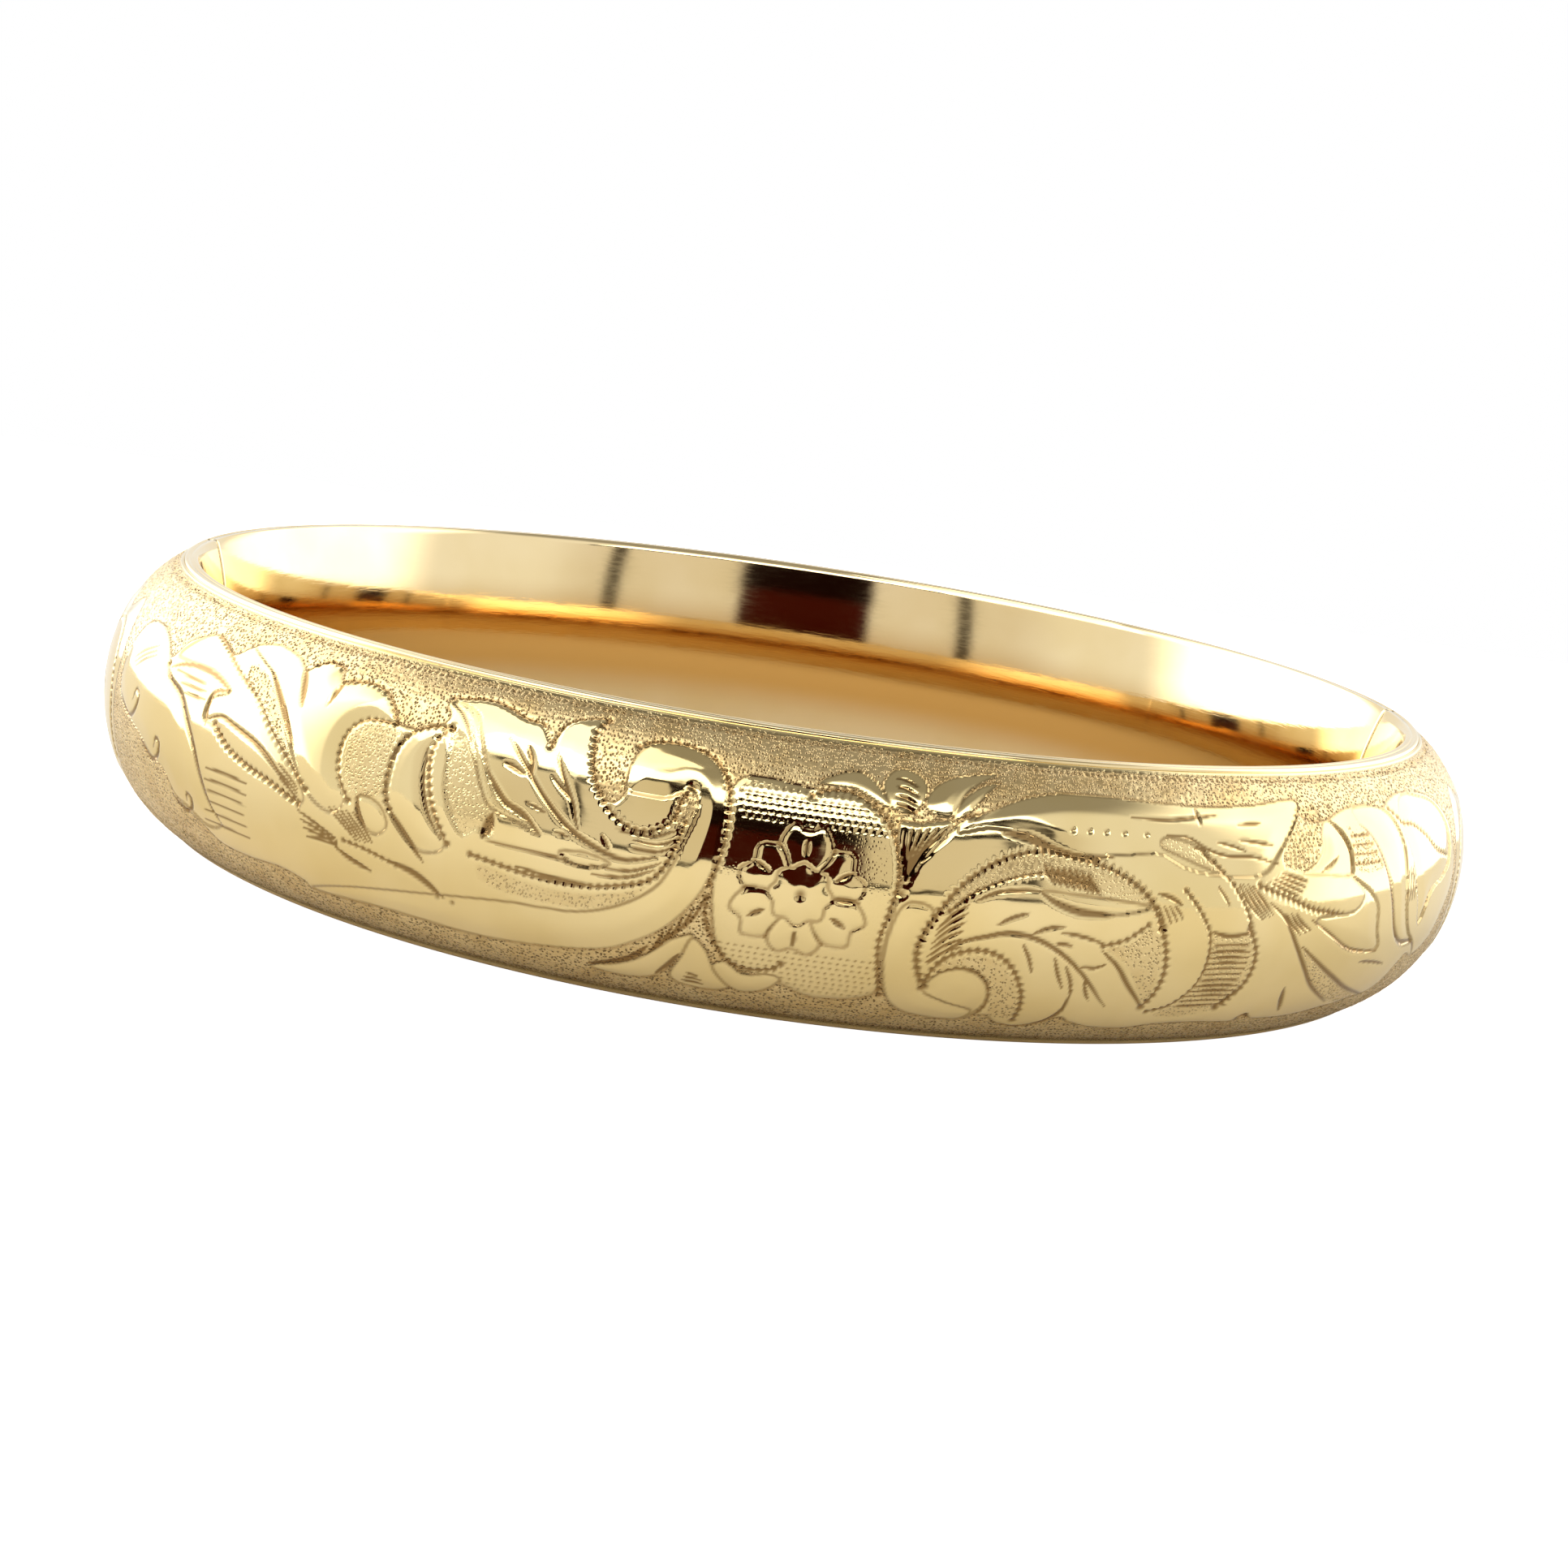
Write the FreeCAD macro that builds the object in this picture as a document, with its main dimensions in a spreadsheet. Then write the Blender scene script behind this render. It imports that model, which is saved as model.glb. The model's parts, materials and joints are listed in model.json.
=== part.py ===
import FreeCAD, Part
import math
import os
import Sketcher
from FreeCAD import Rotation, Vector

# A hollow oval bangle that opens on a hinge at its left end (-X) and locks with a box-and-tongue clasp
# at its right end (+X). Millimetres. The origin is the centre of the oval, half way up the band; the
# band's width runs along Z and the front half is on the -Y side. The seam is the plane y = seam_offset.

SIZES = {
    # The oval, measured at the rims, and the band's section. The dome is an arc of an ellipse whose
    # centre lies dome_sink inside the rims. The inner wall is crowned: it stands lining_crown proud of
    # the rims, towards the wrist, at the middle of the band.
    "inner_long": 59.0,
    "inner_short": 51.0,
    "band_width": 12.0,
    "dome_height": 3.75,
    "dome_sink": 0.8,
    "dome_half": 6.2,
    "lining_crown": 1.0,
    "sheet_gauge": 0.35,
    "rim_lap": 0.65,
    "rim_gauge": 0.35,
    "rim_round": 0.1,
    # The seam, how far past the long axis each half is drawn before it is cut there, and the gaps
    # between pieces that are soldered together.
    "seam_offset": 1.6,
    "seam_overrun": 5.0,
    "seam_gap": 0.1,
    "fit_gap": 0.02,
    "plate_gauge": 0.5,
    # The hinge: the axis lies hinge_reach outside the rims' inner oval, on the seam. The notch is as
    # long as the part of the dome that stands further out than the axis, so that the halves can swing.
    "hinge_reach": 2.95,
    "barrel_radius": 0.8,
    "barrel_length": 5.6,
    "knuckle_count": 5,
    "knuckle_gap": 0.04,
    "bore_radius": 0.38,
    "pin_radius": 0.35,
    "pin_head_radius": 0.52,
    "pin_head_height": 0.25,
    "notch_radius": 0.95,
    "notch_length": 7.2,
    "wing_start": 0.36,
    "wing_end": 1.5,
    "wing_gauge": 0.42,
    # The clasp: the tongue is a V of two blades, wide enough to steer the half as it closes. Heights
    # are measured outwards from the rims' inner oval; the crowned lining lies below it.
    "tongue_width": 4.0,
    "tongue_gauge": 0.35,
    "tongue_floor": 0.8,
    "tongue_tip_angle": 6.0,
    "tongue_root_angle": 1.9,
    "fold_rise": 1.05,
    "fold_depth": 6.9,
    "fold_radius": 0.36,
    "spring_gauge": 0.3,
    "spring_length": 6.38,
    "spring_angle": 11.35,
    "mouth_floor": 0.74,
    "mouth_top": 2.1,
    "mouth_width": 4.2,
    "stem_slot_width": 2.3,
    "box_gauge": 0.25,
    "box_inner_width": 4.5,
    "box_floor": -0.36,
    "box_height": 2.28,
    "box_depth": 7.7,
    # The thumb piece, measured from the fold of the tongue along and across the spring leaf.
    "stem_start": 5.5,
    "stem_length": 0.8,
    "stem_width": 1.6,
    "stem_top": 1.65,
    "cap_length": 1.5,
    "cap_width": 2.1,
    "cap_gauge": 0.55,
    "cap_corner": 0.3,
    "grip_radius": 0.1,
    "grip_pitch": 0.36,
    "grip_count": 3,
    "thumb_notch_depth": 2.1,
}

FAR = 80.0  # longer than the whole bangle, for cuts that go right through
SEAM_FACE = "Sizes.seam_offset - Sizes.seam_gap / 2"
FRONT_PLATE_BACK = f"({SEAM_FACE} - Sizes.plate_gauge)"
REAR_SEAM_FACE = "(Sizes.seam_offset + Sizes.seam_gap / 2)"
REAR_PLATE_BACK = f"({REAR_SEAM_FACE} + Sizes.plate_gauge)"

doc = FreeCAD.newDocument("Bangle")
sheet = doc.addObject("Spreadsheet::Sheet", "Sizes")


def fill_sheet():
    for row, (name, value) in enumerate(SIZES.items(), start=1):
        sheet.set(f"A{row}", name)
        sheet.set(f"B{row}", str(value))
        sheet.setAlias(f"B{row}", name)
    doc.recompute()


def size(expression):
    """The number that an expression on the sheet comes to."""
    return float(sheet.evalExpression(expression))


def wall_at(depth):
    """Half length of the rims' inner oval at the given distance from its long axis."""
    return f"(Sizes.inner_long / 2 * sqrt(1 - (2 * ({depth}) / Sizes.inner_short) ^ 2))"


WALL = wall_at("Sizes.seam_offset")
CROWN_RADIUS = "((Sizes.band_width ^ 2 / 4 + Sizes.lining_crown ^ 2) / (2 * Sizes.lining_crown))"
HINGE_X = f"-({WALL} + Sizes.hinge_reach)"


# Sketch helpers -------------------------------------------------------------------------------------


def new_body(name):
    body = doc.addObject("PartDesign::Body", name)
    body.Label = name
    return body


def new_sketch(body, name, role, offset=None):
    """A sketch on one of the body's origin planes, raised along the plane's normal by offset."""
    sketch = body.newObject("Sketcher::SketchObject", f"{body.Name}_{name}")
    plane = next(item for item in body.Origin.OriginFeatures if item.Role == role)
    sketch.AttachmentSupport = [(plane, "")]
    sketch.MapMode = "FlatFace"
    if offset:
        sketch.setExpression("AttachmentOffset.Base.z", offset)
    return sketch


def limit(sketch, kind, where, expression):
    """A measured constraint whose value is bound to the sheet."""
    index = sketch.addConstraint(Sketcher.Constraint(kind, *where, size(expression)))
    sketch.setExpression(f"Constraints[{index}]", expression)


def place_point(sketch, curve, point, across, up):
    limit(sketch, "DistanceX", (-1, 1, curve, point), across)
    limit(sketch, "DistanceY", (-1, 1, curve, point), up)


def add_circle(sketch, across, up, radius):
    middle = Vector(size(across), size(up), 0)
    curve = sketch.addGeometry(Part.Circle(middle, Vector(0, 0, 1), size(radius)), False)
    place_point(sketch, curve, 3, across, up)
    limit(sketch, "Radius", (curve,), radius)


def add_oval(sketch, centre, width, height):
    """An ellipse centred on the sketch's first axis, given by its full width and height."""
    middle = Vector(size(centre), 0, 0)
    side = middle + Vector(size(width) / 2, 0, 0)
    top = middle + Vector(0, size(height) / 2, 0)
    upright = size(height) > size(width)
    if upright:
        curve = sketch.addGeometry(Part.Ellipse(top, 2 * middle - side, middle), False)
    else:
        curve = sketch.addGeometry(Part.Ellipse(side, top, middle), False)
    sketch.exposeInternalGeometry(curve)
    long_axis, short_axis = curve + 1, curve + 2
    sketch.addConstraint(Sketcher.Constraint("PointOnObject", curve, 3, -1))
    sketch.addConstraint(Sketcher.Constraint("Vertical" if upright else "Horizontal", long_axis))
    limit(sketch, "DistanceX", (-1, 1, curve, 3), centre)
    limit(sketch, "Distance", (long_axis,), height if upright else width)
    limit(sketch, "Distance", (short_axis,), width if upright else height)


def add_plan_oval(sketch, growth):
    """The inner oval in plan, grown outwards by growth."""
    add_oval(sketch, "0", f"Sizes.inner_long + 2 * ({growth})", f"Sizes.inner_short + 2 * ({growth})")


def add_half_oval(sketch, front):
    """Half of the inner oval in plan, running seam_overrun past the long axis at both ends."""
    side, depth = Vector(size("Sizes.inner_long / 2"), 0, 0), Vector(0, size("Sizes.inner_short / 2"), 0)
    sweep = math.asin(size("2 * Sizes.seam_overrun / Sizes.inner_short"))
    start = -math.pi - sweep if front else -sweep
    oval = Part.Ellipse(side, depth, Vector(0, 0, 0))
    curve = sketch.addGeometry(Part.ArcOfEllipse(oval, start, start + math.pi + 2 * sweep), False)
    sketch.exposeInternalGeometry(curve)
    sketch.addConstraint(Sketcher.Constraint("Coincident", curve, 3, -1, 1))
    sketch.addConstraint(Sketcher.Constraint("Horizontal", curve + 1))
    limit(sketch, "Distance", (curve + 1,), "Sizes.inner_long")
    limit(sketch, "Distance", (curve + 2,), "Sizes.inner_short")
    for end in (1, 2):
        limit(sketch, "DistanceY", (-1, 1, curve, end), f"{1 if front else -1} * Sizes.seam_overrun")


def add_rectangle(sketch, left, right, low, high):
    corners = [(left, low), (right, low), (right, high), (left, high)]
    points = [Vector(size(across), size(up), 0) for across, up in corners]
    first = sketch.GeometryCount
    for index in range(4):
        sketch.addGeometry(Part.LineSegment(points[index], points[(index + 1) % 4]), False)
    for index in range(4):
        following = first + (index + 1) % 4
        sketch.addConstraint(Sketcher.Constraint("Coincident", first + index, 2, following, 1))
        kind = "Horizontal" if index % 2 == 0 else "Vertical"
        sketch.addConstraint(Sketcher.Constraint(kind, first + index))
    place_point(sketch, first, 1, left, low)
    place_point(sketch, first + 2, 1, right, high)


# Feature helpers ------------------------------------------------------------------------------------


def pad(body, sketch, length, centred=False):
    feature = body.newObject("PartDesign::Pad", f"{sketch.Name}_pad")
    feature.Profile = sketch
    feature.setExpression("Length", length)
    feature.Midplane = centred
    doc.recompute()
    return feature


def pocket(body, sketch, length=None, centred=True, reverse=False):
    """Cut the sketch out of the body, and stop if the cut missed the solid."""
    before = body.Shape.Volume
    feature = body.newObject("PartDesign::Pocket", f"{sketch.Name}_cut")
    feature.Profile = sketch
    feature.Length = FAR
    if length:
        feature.setExpression("Length", length)
    feature.Midplane = centred
    feature.Reversed = reverse
    doc.recompute()
    if not body.Shape.Volume < before:
        raise ValueError(f"{feature.Name} cuts nothing")
    return feature


def sweep(body, kind, profile, path):
    feature = body.newObject(f"PartDesign::{kind}", f"{profile.Name}_sweep")
    feature.Profile = (profile, [""])
    feature.Spine = (path, ["Edge1"])
    doc.recompute()
    return feature


def round_edges(body, radius, wanted):
    """Fillet the edges of the body's last feature for which wanted(edge) holds."""
    base = body.Tip
    names = [f"Edge{n}" for n, edge in enumerate(base.Shape.Edges, start=1) if wanted(edge)]
    if not names:
        raise ValueError(f"{body.Name} has no edge to round")
    feature = body.newObject("PartDesign::Fillet", f"{body.Name}_round")
    feature.Base = (base, names)
    feature.setExpression("Radius", radius)
    doc.recompute()
    return feature


def cut_half(body, front):
    """Keep the body's front half (or its rear half) up to that half's seam face."""
    sketch = new_sketch(body, "half", "XY_Plane")
    if front:
        add_rectangle(sketch, f"{-FAR}", f"{FAR}", SEAM_FACE, f"{FAR}")
    else:
        add_rectangle(sketch, f"{-FAR}", f"{FAR}", f"{-FAR}", REAR_SEAM_FACE)
    pocket(body, sketch)


def cut_hinge_notch(body):
    sketch = new_sketch(body, "hinge_notch", "XY_Plane")
    add_circle(sketch, HINGE_X, "Sizes.seam_offset", "Sizes.notch_radius")
    pocket(body, sketch, "Sizes.notch_length")


# The halves -----------------------------------------------------------------------------------------


def dome_profile(body, name, inset):
    """The dome's whole elliptical section, standing across the path at its +X end."""
    sketch = new_sketch(body, name, "XZ_Plane")
    width = f"2 * (Sizes.dome_height + Sizes.dome_sink - {inset})"
    add_oval(sketch, "Sizes.inner_long / 2 - Sizes.dome_sink", width, f"2 * (Sizes.dome_half - {inset})")
    return sketch


def cut_shell_rim(body, name, height, reverse):
    """Clear the room beside and under one folded rim of the lining."""
    sketch = new_sketch(body, name, "XY_Plane", height)
    add_plan_oval(sketch, "Sizes.rim_lap + Sizes.fit_gap")
    pocket(body, sketch, "Sizes.rim_gauge + 1", centred=False, reverse=reverse)


def make_shell(name, front):
    body = new_body(name)
    path = new_sketch(body, "path", "XY_Plane")
    add_half_oval(path, front)
    sweep(body, "AdditivePipe", dome_profile(body, "outside", "0"), path)
    sweep(body, "SubtractivePipe", dome_profile(body, "inside", "Sizes.sheet_gauge"), path)
    bore = new_sketch(body, "bore", "XY_Plane")
    add_plan_oval(bore, "Sizes.sheet_gauge + Sizes.fit_gap")
    pocket(body, bore)
    edge = "Sizes.band_width / 2 - Sizes.rim_gauge - Sizes.fit_gap"
    cut_shell_rim(body, "upper_rim", edge, reverse=True)
    cut_shell_rim(body, "lower_rim", f"-({edge})", reverse=False)
    cut_half(body, front)
    cut_hinge_notch(body)
    return body


def cut_thumb_notch(body):
    """An open notch at the clasp edge of the front shell, for the thumb piece."""
    sketch = new_sketch(body, "thumb_notch", "XY_Plane")
    low = "Sizes.seam_offset - Sizes.thumb_notch_depth"
    add_rectangle(sketch, f"{WALL}", f"{FAR}", low, REAR_SEAM_FACE)
    pocket(body, sketch, "Sizes.stem_slot_width")


def add_crowned_sheet(sketch):
    """The section of the crowned inner sheet: two concentric arcs joined by straight edges."""
    centre = f"Sizes.inner_long / 2 - Sizes.lining_crown + {CROWN_RADIUS}"
    middle = Vector(size(centre), 0, 0)
    half = size("Sizes.band_width / 2")
    radii = (CROWN_RADIUS, f"{CROWN_RADIUS} - Sizes.sheet_gauge")
    for radius in radii:
        lean = math.asin(half / size(radius))
        circle = Part.Circle(middle, Vector(0, 0, 1), size(radius))
        sketch.addGeometry(Part.ArcOfCircle(circle, math.pi - lean, math.pi + lean), False)
    inner, outer = sketch.Geometry
    sketch.addGeometry(Part.LineSegment(inner.StartPoint, outer.StartPoint), False)
    sketch.addGeometry(Part.LineSegment(inner.EndPoint, outer.EndPoint), False)
    for curve, radius in enumerate(radii):
        place_point(sketch, curve, 3, centre, "0")
        limit(sketch, "Radius", (curve,), radius)
        limit(sketch, "DistanceY", (-1, 1, curve, 1), "Sizes.band_width / 2")
        limit(sketch, "DistanceY", (-1, 1, curve, 2), "-Sizes.band_width / 2")
        for line in (2, 3):
            sketch.addConstraint(Sketcher.Constraint("Coincident", line, curve + 1, curve, line - 1))


def make_lining(name, front):
    """The crowned inner sheet, with its two edges folded outwards over the shell."""
    body = new_body(name)
    path = new_sketch(body, "path", "XY_Plane")
    add_half_oval(path, front)
    sheet_section = new_sketch(body, "sheet_section", "XZ_Plane")
    add_crowned_sheet(sheet_section)
    sweep(body, "AdditivePipe", sheet_section, path)
    rim_base = "Sizes.band_width / 2 - Sizes.rim_gauge"
    for side, height in (("upper", rim_base), ("lower", "-Sizes.band_width / 2")):
        fold = new_sketch(body, f"{side}_fold", "XY_Plane", height)
        add_plan_oval(fold, "0")
        add_plan_oval(fold, "Sizes.rim_lap")
        pad(body, fold, "Sizes.rim_gauge")
    reach = size("Sizes.inner_short / 2 + Sizes.rim_lap")
    top = size("Sizes.band_width / 2")

    def is_outer_rim(edge):
        box = edge.BoundBox
        flat = box.ZLength < 0.01 and abs(abs(box.ZMax) - top) < 0.01
        return flat and max(abs(box.YMin), abs(box.YMax)) > reach - 0.01

    round_edges(body, "Sizes.rim_round", is_outer_rim)
    cut_half(body, front)
    return body


# The end plates -------------------------------------------------------------------------------------


def make_end_plate(name, side, front):
    """A D-shaped plate that closes the hollow section: side is -1 at the hinge, 1 at the clasp."""
    body = new_body(name)
    near, far = (FRONT_PLATE_BACK, SEAM_FACE) if front else (REAR_SEAM_FACE, REAR_PLATE_BACK)
    face = new_sketch(body, "face", "XZ_Plane", f"-({far})")
    room = "Sizes.sheet_gauge - Sizes.fit_gap"
    width = f"2 * (Sizes.dome_height + Sizes.dome_sink - {room})"
    height = f"2 * (Sizes.dome_half - {room})"
    add_oval(face, f"{side} * ({wall_at(far)} - Sizes.dome_sink)", width, height)
    pad(body, face, "Sizes.plate_gauge")
    lining = new_sketch(body, "lining", "XZ_Plane")
    centre = f"{side} * ({wall_at(near)} - Sizes.lining_crown + {CROWN_RADIUS})"
    add_circle(lining, centre, "0", f"{CROWN_RADIUS} - Sizes.sheet_gauge - Sizes.fit_gap")
    add_rectangle(lining, f"{-FAR}", f"{FAR}", f"{-FAR}", f"{FAR}")
    pocket(body, lining)
    return body


def cut_mouth(body):
    """The mouth for the tongue, and above it the narrow slot for the thumb piece's stem."""
    mouth = new_sketch(body, "mouth", "XZ_Plane")
    half = "Sizes.mouth_width / 2"
    floor, top = f"{WALL} + Sizes.mouth_floor", f"{WALL} + Sizes.mouth_top"
    add_rectangle(mouth, floor, top, f"-{half}", half)
    pocket(body, mouth)
    slot = new_sketch(body, "stem_slot", "XZ_Plane")
    half = "Sizes.stem_slot_width / 2"
    add_rectangle(slot, f"{WALL} + Sizes.mouth_floor", f"{FAR}", f"-{half}", half)
    pocket(body, slot)


def cut_tongue_slot(body):
    """The close slot in the rear plate through which the root of the tongue is soldered."""
    slot = new_sketch(body, "tongue_slot", "XZ_Plane")
    floor = f"{WALL} + Sizes.tongue_floor - 2 * Sizes.fit_gap"
    top = f"{WALL} + Sizes.tongue_floor + Sizes.tongue_gauge + 2 * Sizes.fit_gap"
    half = "(Sizes.tongue_width / 2 + Sizes.fit_gap)"
    add_rectangle(slot, floor, top, f"-{half}", half)
    pocket(body, slot)


# The hinge ------------------------------------------------------------------------------------------

KNUCKLE_LENGTH = (
    "((Sizes.barrel_length - (Sizes.knuckle_count - 1) * Sizes.knuckle_gap) / Sizes.knuckle_count)"
)


def stand_on_hinge(body):
    body.setExpression("Placement.Base.x", HINGE_X)
    body.setExpression("Placement.Base.y", "Sizes.seam_offset")


def make_knuckle(name, place, front):
    """A length of tube with a wing that is soldered behind its own end plate; place 0 is the middle."""
    body = new_body(name)
    barrel = new_sketch(body, "barrel", "XY_Plane")
    add_circle(barrel, "0", "0", "Sizes.barrel_radius")
    pad(body, barrel, KNUCKLE_LENGTH, centred=True)
    wing = new_sketch(body, "wing", "XY_Plane")
    near = "(Sizes.seam_gap / 2 + Sizes.plate_gauge + Sizes.fit_gap)"
    far = f"({near} + Sizes.wing_gauge)"
    low, high = (f"-{far}", f"-{near}") if front else (near, far)
    add_rectangle(wing, "Sizes.wing_start", "Sizes.wing_end", low, high)
    pad(body, wing, KNUCKLE_LENGTH, centred=True)
    bore = new_sketch(body, "bore", "XY_Plane")
    add_circle(bore, "0", "0", "Sizes.bore_radius")
    pocket(body, bore)
    stand_on_hinge(body)
    body.setExpression("Placement.Base.z", f"{place} * ({KNUCKLE_LENGTH} + Sizes.knuckle_gap)")
    return body


def make_hinge_pin():
    """A straight pin with a peened head just clear of each end of the barrel."""
    body = new_body("hinge_pin")
    shaft = new_sketch(body, "shaft", "XY_Plane")
    add_circle(shaft, "0", "0", "Sizes.pin_radius")
    reach = "(Sizes.barrel_length / 2 + Sizes.fit_gap / 2)"
    pad(body, shaft, f"2 * ({reach} + Sizes.pin_head_height)", centred=True)
    for name, height in (("upper", reach), ("lower", f"-({reach} + Sizes.pin_head_height)")):
        head = new_sketch(body, f"{name}_head", "XY_Plane", height)
        add_circle(head, "0", "0", "Sizes.pin_head_radius")
        pad(body, head, "Sizes.pin_head_height")
    end = size(f"{reach} + Sizes.pin_head_height")
    round_edges(body, "Sizes.pin_head_height / 2", lambda edge: abs(edge.CenterOfMass.z) > end - 0.01)
    stand_on_hinge(body)
    return body


# The clasp ------------------------------------------------------------------------------------------


def make_catch_box():
    """Two cheeks and a back, soldered behind the mouth; the lining is its floor."""
    body = new_body("catch_box")
    front_edge = f"({FRONT_PLATE_BACK} - Sizes.fit_gap)"
    back_edge = f"({front_edge} - Sizes.box_depth)"
    half = "(Sizes.box_inner_width / 2)"
    walls = new_sketch(body, "walls", "YZ_Plane", f"{WALL} + Sizes.box_floor")
    outer_half = f"({half} + Sizes.box_gauge)"
    add_rectangle(walls, back_edge, front_edge, f"-{outer_half}", outer_half)
    pad(body, walls, "Sizes.box_height")
    room = new_sketch(body, "room", "YZ_Plane")
    add_rectangle(room, f"{back_edge} + Sizes.box_gauge", f"{front_edge} + 1", f"-{half}", half)
    pocket(body, room)
    return body


def tongue_sector(name, radius):
    """A slice of a disc about the hinge axis, as thick as the tongue is wide."""
    sector = doc.addObject("Part::Cylinder", name)
    sector.setExpression("Radius", radius)
    sector.setExpression("Height", "Sizes.tongue_width")
    sector.setExpression("Angle", "Sizes.tongue_tip_angle + Sizes.tongue_root_angle")
    sector.Placement.Rotation = Rotation(Vector(0, 0, 1), -1)
    sector.setExpression("Placement.Rotation.Angle", "-Sizes.tongue_tip_angle")
    sector.setExpression("Placement.Base.x", HINGE_X)
    sector.setExpression("Placement.Base.y", "Sizes.seam_offset")
    sector.setExpression("Placement.Base.z", "-Sizes.tongue_width / 2")
    return sector


def make_tongue_base():
    """The fixed blade, bent to the circle that it travels on about the hinge."""
    inner = f"2 * {WALL} + Sizes.hinge_reach + Sizes.tongue_floor"
    blade = doc.addObject("Part::Cut", "tongue_base")
    blade.Label = "tongue_base"
    blade.Base = tongue_sector("tongue_outer", f"{inner} + Sizes.tongue_gauge")
    blade.Tool = tongue_sector("tongue_inner", inner)
    doc.recompute()
    return blade


def stand_on_fold(body):
    """Put a piece drawn along +Y at the fold of the tongue, leaning outwards like the spring leaf."""
    body.Placement.Rotation = Rotation(Vector(0, 0, 1), -1)
    body.setExpression("Placement.Rotation.Angle", "-Sizes.spring_angle")
    body.setExpression("Placement.Base.x", f"{WALL} + Sizes.fold_rise")
    body.setExpression("Placement.Base.y", "Sizes.seam_offset - Sizes.fold_depth")


def make_spring_leaf():
    """The sprung blade: its root is rolled round the fold, its free end catches behind the mouth."""
    body = new_body("spring_leaf")
    fold = new_sketch(body, "fold", "XY_Plane")
    add_circle(fold, "0", "0", "Sizes.fold_radius")
    pad(body, fold, "Sizes.tongue_width", centred=True)
    blade = new_sketch(body, "blade", "XY_Plane")
    half = "Sizes.spring_gauge / 2"
    add_rectangle(blade, f"-{half}", half, "0", "Sizes.spring_length")
    pad(body, blade, "Sizes.tongue_width", centred=True)
    stand_on_fold(body)
    return body


def cut_grip(body):
    """Shallow grooves across the cap, where the thumbnail presses."""
    groove = new_sketch(body, "groove", "XY_Plane")
    top = "Sizes.stem_top + Sizes.cap_gauge"
    span = "(Sizes.grip_count - 1) * Sizes.grip_pitch"
    first = f"Sizes.stem_start + (Sizes.cap_length - {span}) / 2"
    add_circle(groove, top, first, "Sizes.grip_radius")
    cut = pocket(body, groove)
    row = body.newObject("PartDesign::LinearPattern", "grip_row")
    row.Originals = [cut]
    row.Direction = (groove, ["V_Axis"])
    row.setExpression("Length", span)
    row.setExpression("Occurrences", "Sizes.grip_count")
    body.Tip = row
    doc.recompute()


def make_thumb_piece():
    """A stem on the spring leaf that passes through the shell's notch, with a grooved cap."""
    body = new_body("thumb_piece")
    stem = new_sketch(body, "stem", "XY_Plane")
    foot = "Sizes.spring_gauge / 2 + Sizes.fit_gap"
    start, end = "Sizes.stem_start", "Sizes.stem_start + Sizes.stem_length"
    add_rectangle(stem, foot, "Sizes.stem_top + Sizes.cap_gauge / 2", start, end)
    pad(body, stem, "Sizes.stem_width", centred=True)
    cap = new_sketch(body, "cap", "XY_Plane")
    top = "Sizes.stem_top + Sizes.cap_gauge"
    add_rectangle(cap, "Sizes.stem_top", top, start, "Sizes.stem_start + Sizes.cap_length")
    pad(body, cap, "Sizes.cap_width", centred=True)
    reach = size("Sizes.cap_width / 2")
    middle = size("Sizes.stem_top + Sizes.cap_gauge / 2")

    def is_cap_corner(edge):
        centre = edge.CenterOfMass
        return abs(abs(centre.z) - reach) < 0.01 and abs(centre.x - middle) < 0.01

    round_edges(body, "Sizes.cap_corner", is_cap_corner)
    cut_grip(body)
    stand_on_fold(body)
    return body


# Assembly and export --------------------------------------------------------------------------------


def make_halves():
    front_shell = make_shell("front_shell", front=True)
    cut_thumb_notch(front_shell)
    rear_shell = make_shell("rear_shell", front=False)
    linings = [make_lining("front_lining", front=True), make_lining("rear_lining", front=False)]
    return [front_shell, rear_shell, *linings]


def make_end_plates():
    front_hinge = make_end_plate("front_hinge_end_plate", side=-1, front=True)
    rear_hinge = make_end_plate("rear_hinge_end_plate", side=-1, front=False)
    cut_hinge_notch(front_hinge)
    cut_hinge_notch(rear_hinge)
    front_clasp = make_end_plate("front_clasp_end_plate", side=1, front=True)
    cut_mouth(front_clasp)
    rear_clasp = make_end_plate("rear_clasp_end_plate", side=1, front=False)
    cut_tongue_slot(rear_clasp)
    return [front_hinge, rear_hinge, front_clasp, rear_clasp]


def make_hinge():
    front_places = {"upper": 2, "middle": 0, "lower": -2}
    rear_places = {"upper": 1, "lower": -1}
    front = [make_knuckle(f"hinge_knuckle_front_{n}", p, True) for n, p in front_places.items()]
    rear = [make_knuckle(f"hinge_knuckle_rear_{n}", p, False) for n, p in rear_places.items()]
    return [*front, *rear, make_hinge_pin()]


def make_clasp():
    return [make_catch_box(), make_tongue_base(), make_spring_leaf(), make_thumb_piece()]


def check(pieces):
    for item in doc.Objects:
        if {"Invalid", "Error"} & set(item.State):
            raise ValueError(f"{item.Name} did not build")
    for piece in pieces:
        shape = piece.Shape
        if shape.isNull() or not shape.isValid() or len(shape.Solids) != 1:
            raise ValueError(f"{piece.Label} is not one valid solid")


def export(pieces):
    os.makedirs("parts", exist_ok=True)
    for piece in pieces:
        piece.Shape.exportStep(f"parts/{piece.Label}.step")
        print(piece.Label, round(piece.Shape.Volume, 3))


fill_sheet()
pieces = [*make_halves(), *make_end_plates(), *make_hinge(), *make_clasp()]
doc.recompute()
check(pieces)
export(pieces)
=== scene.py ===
import json
import math

import bpy
import numpy as np
from mathutils import Matrix, Vector


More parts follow.
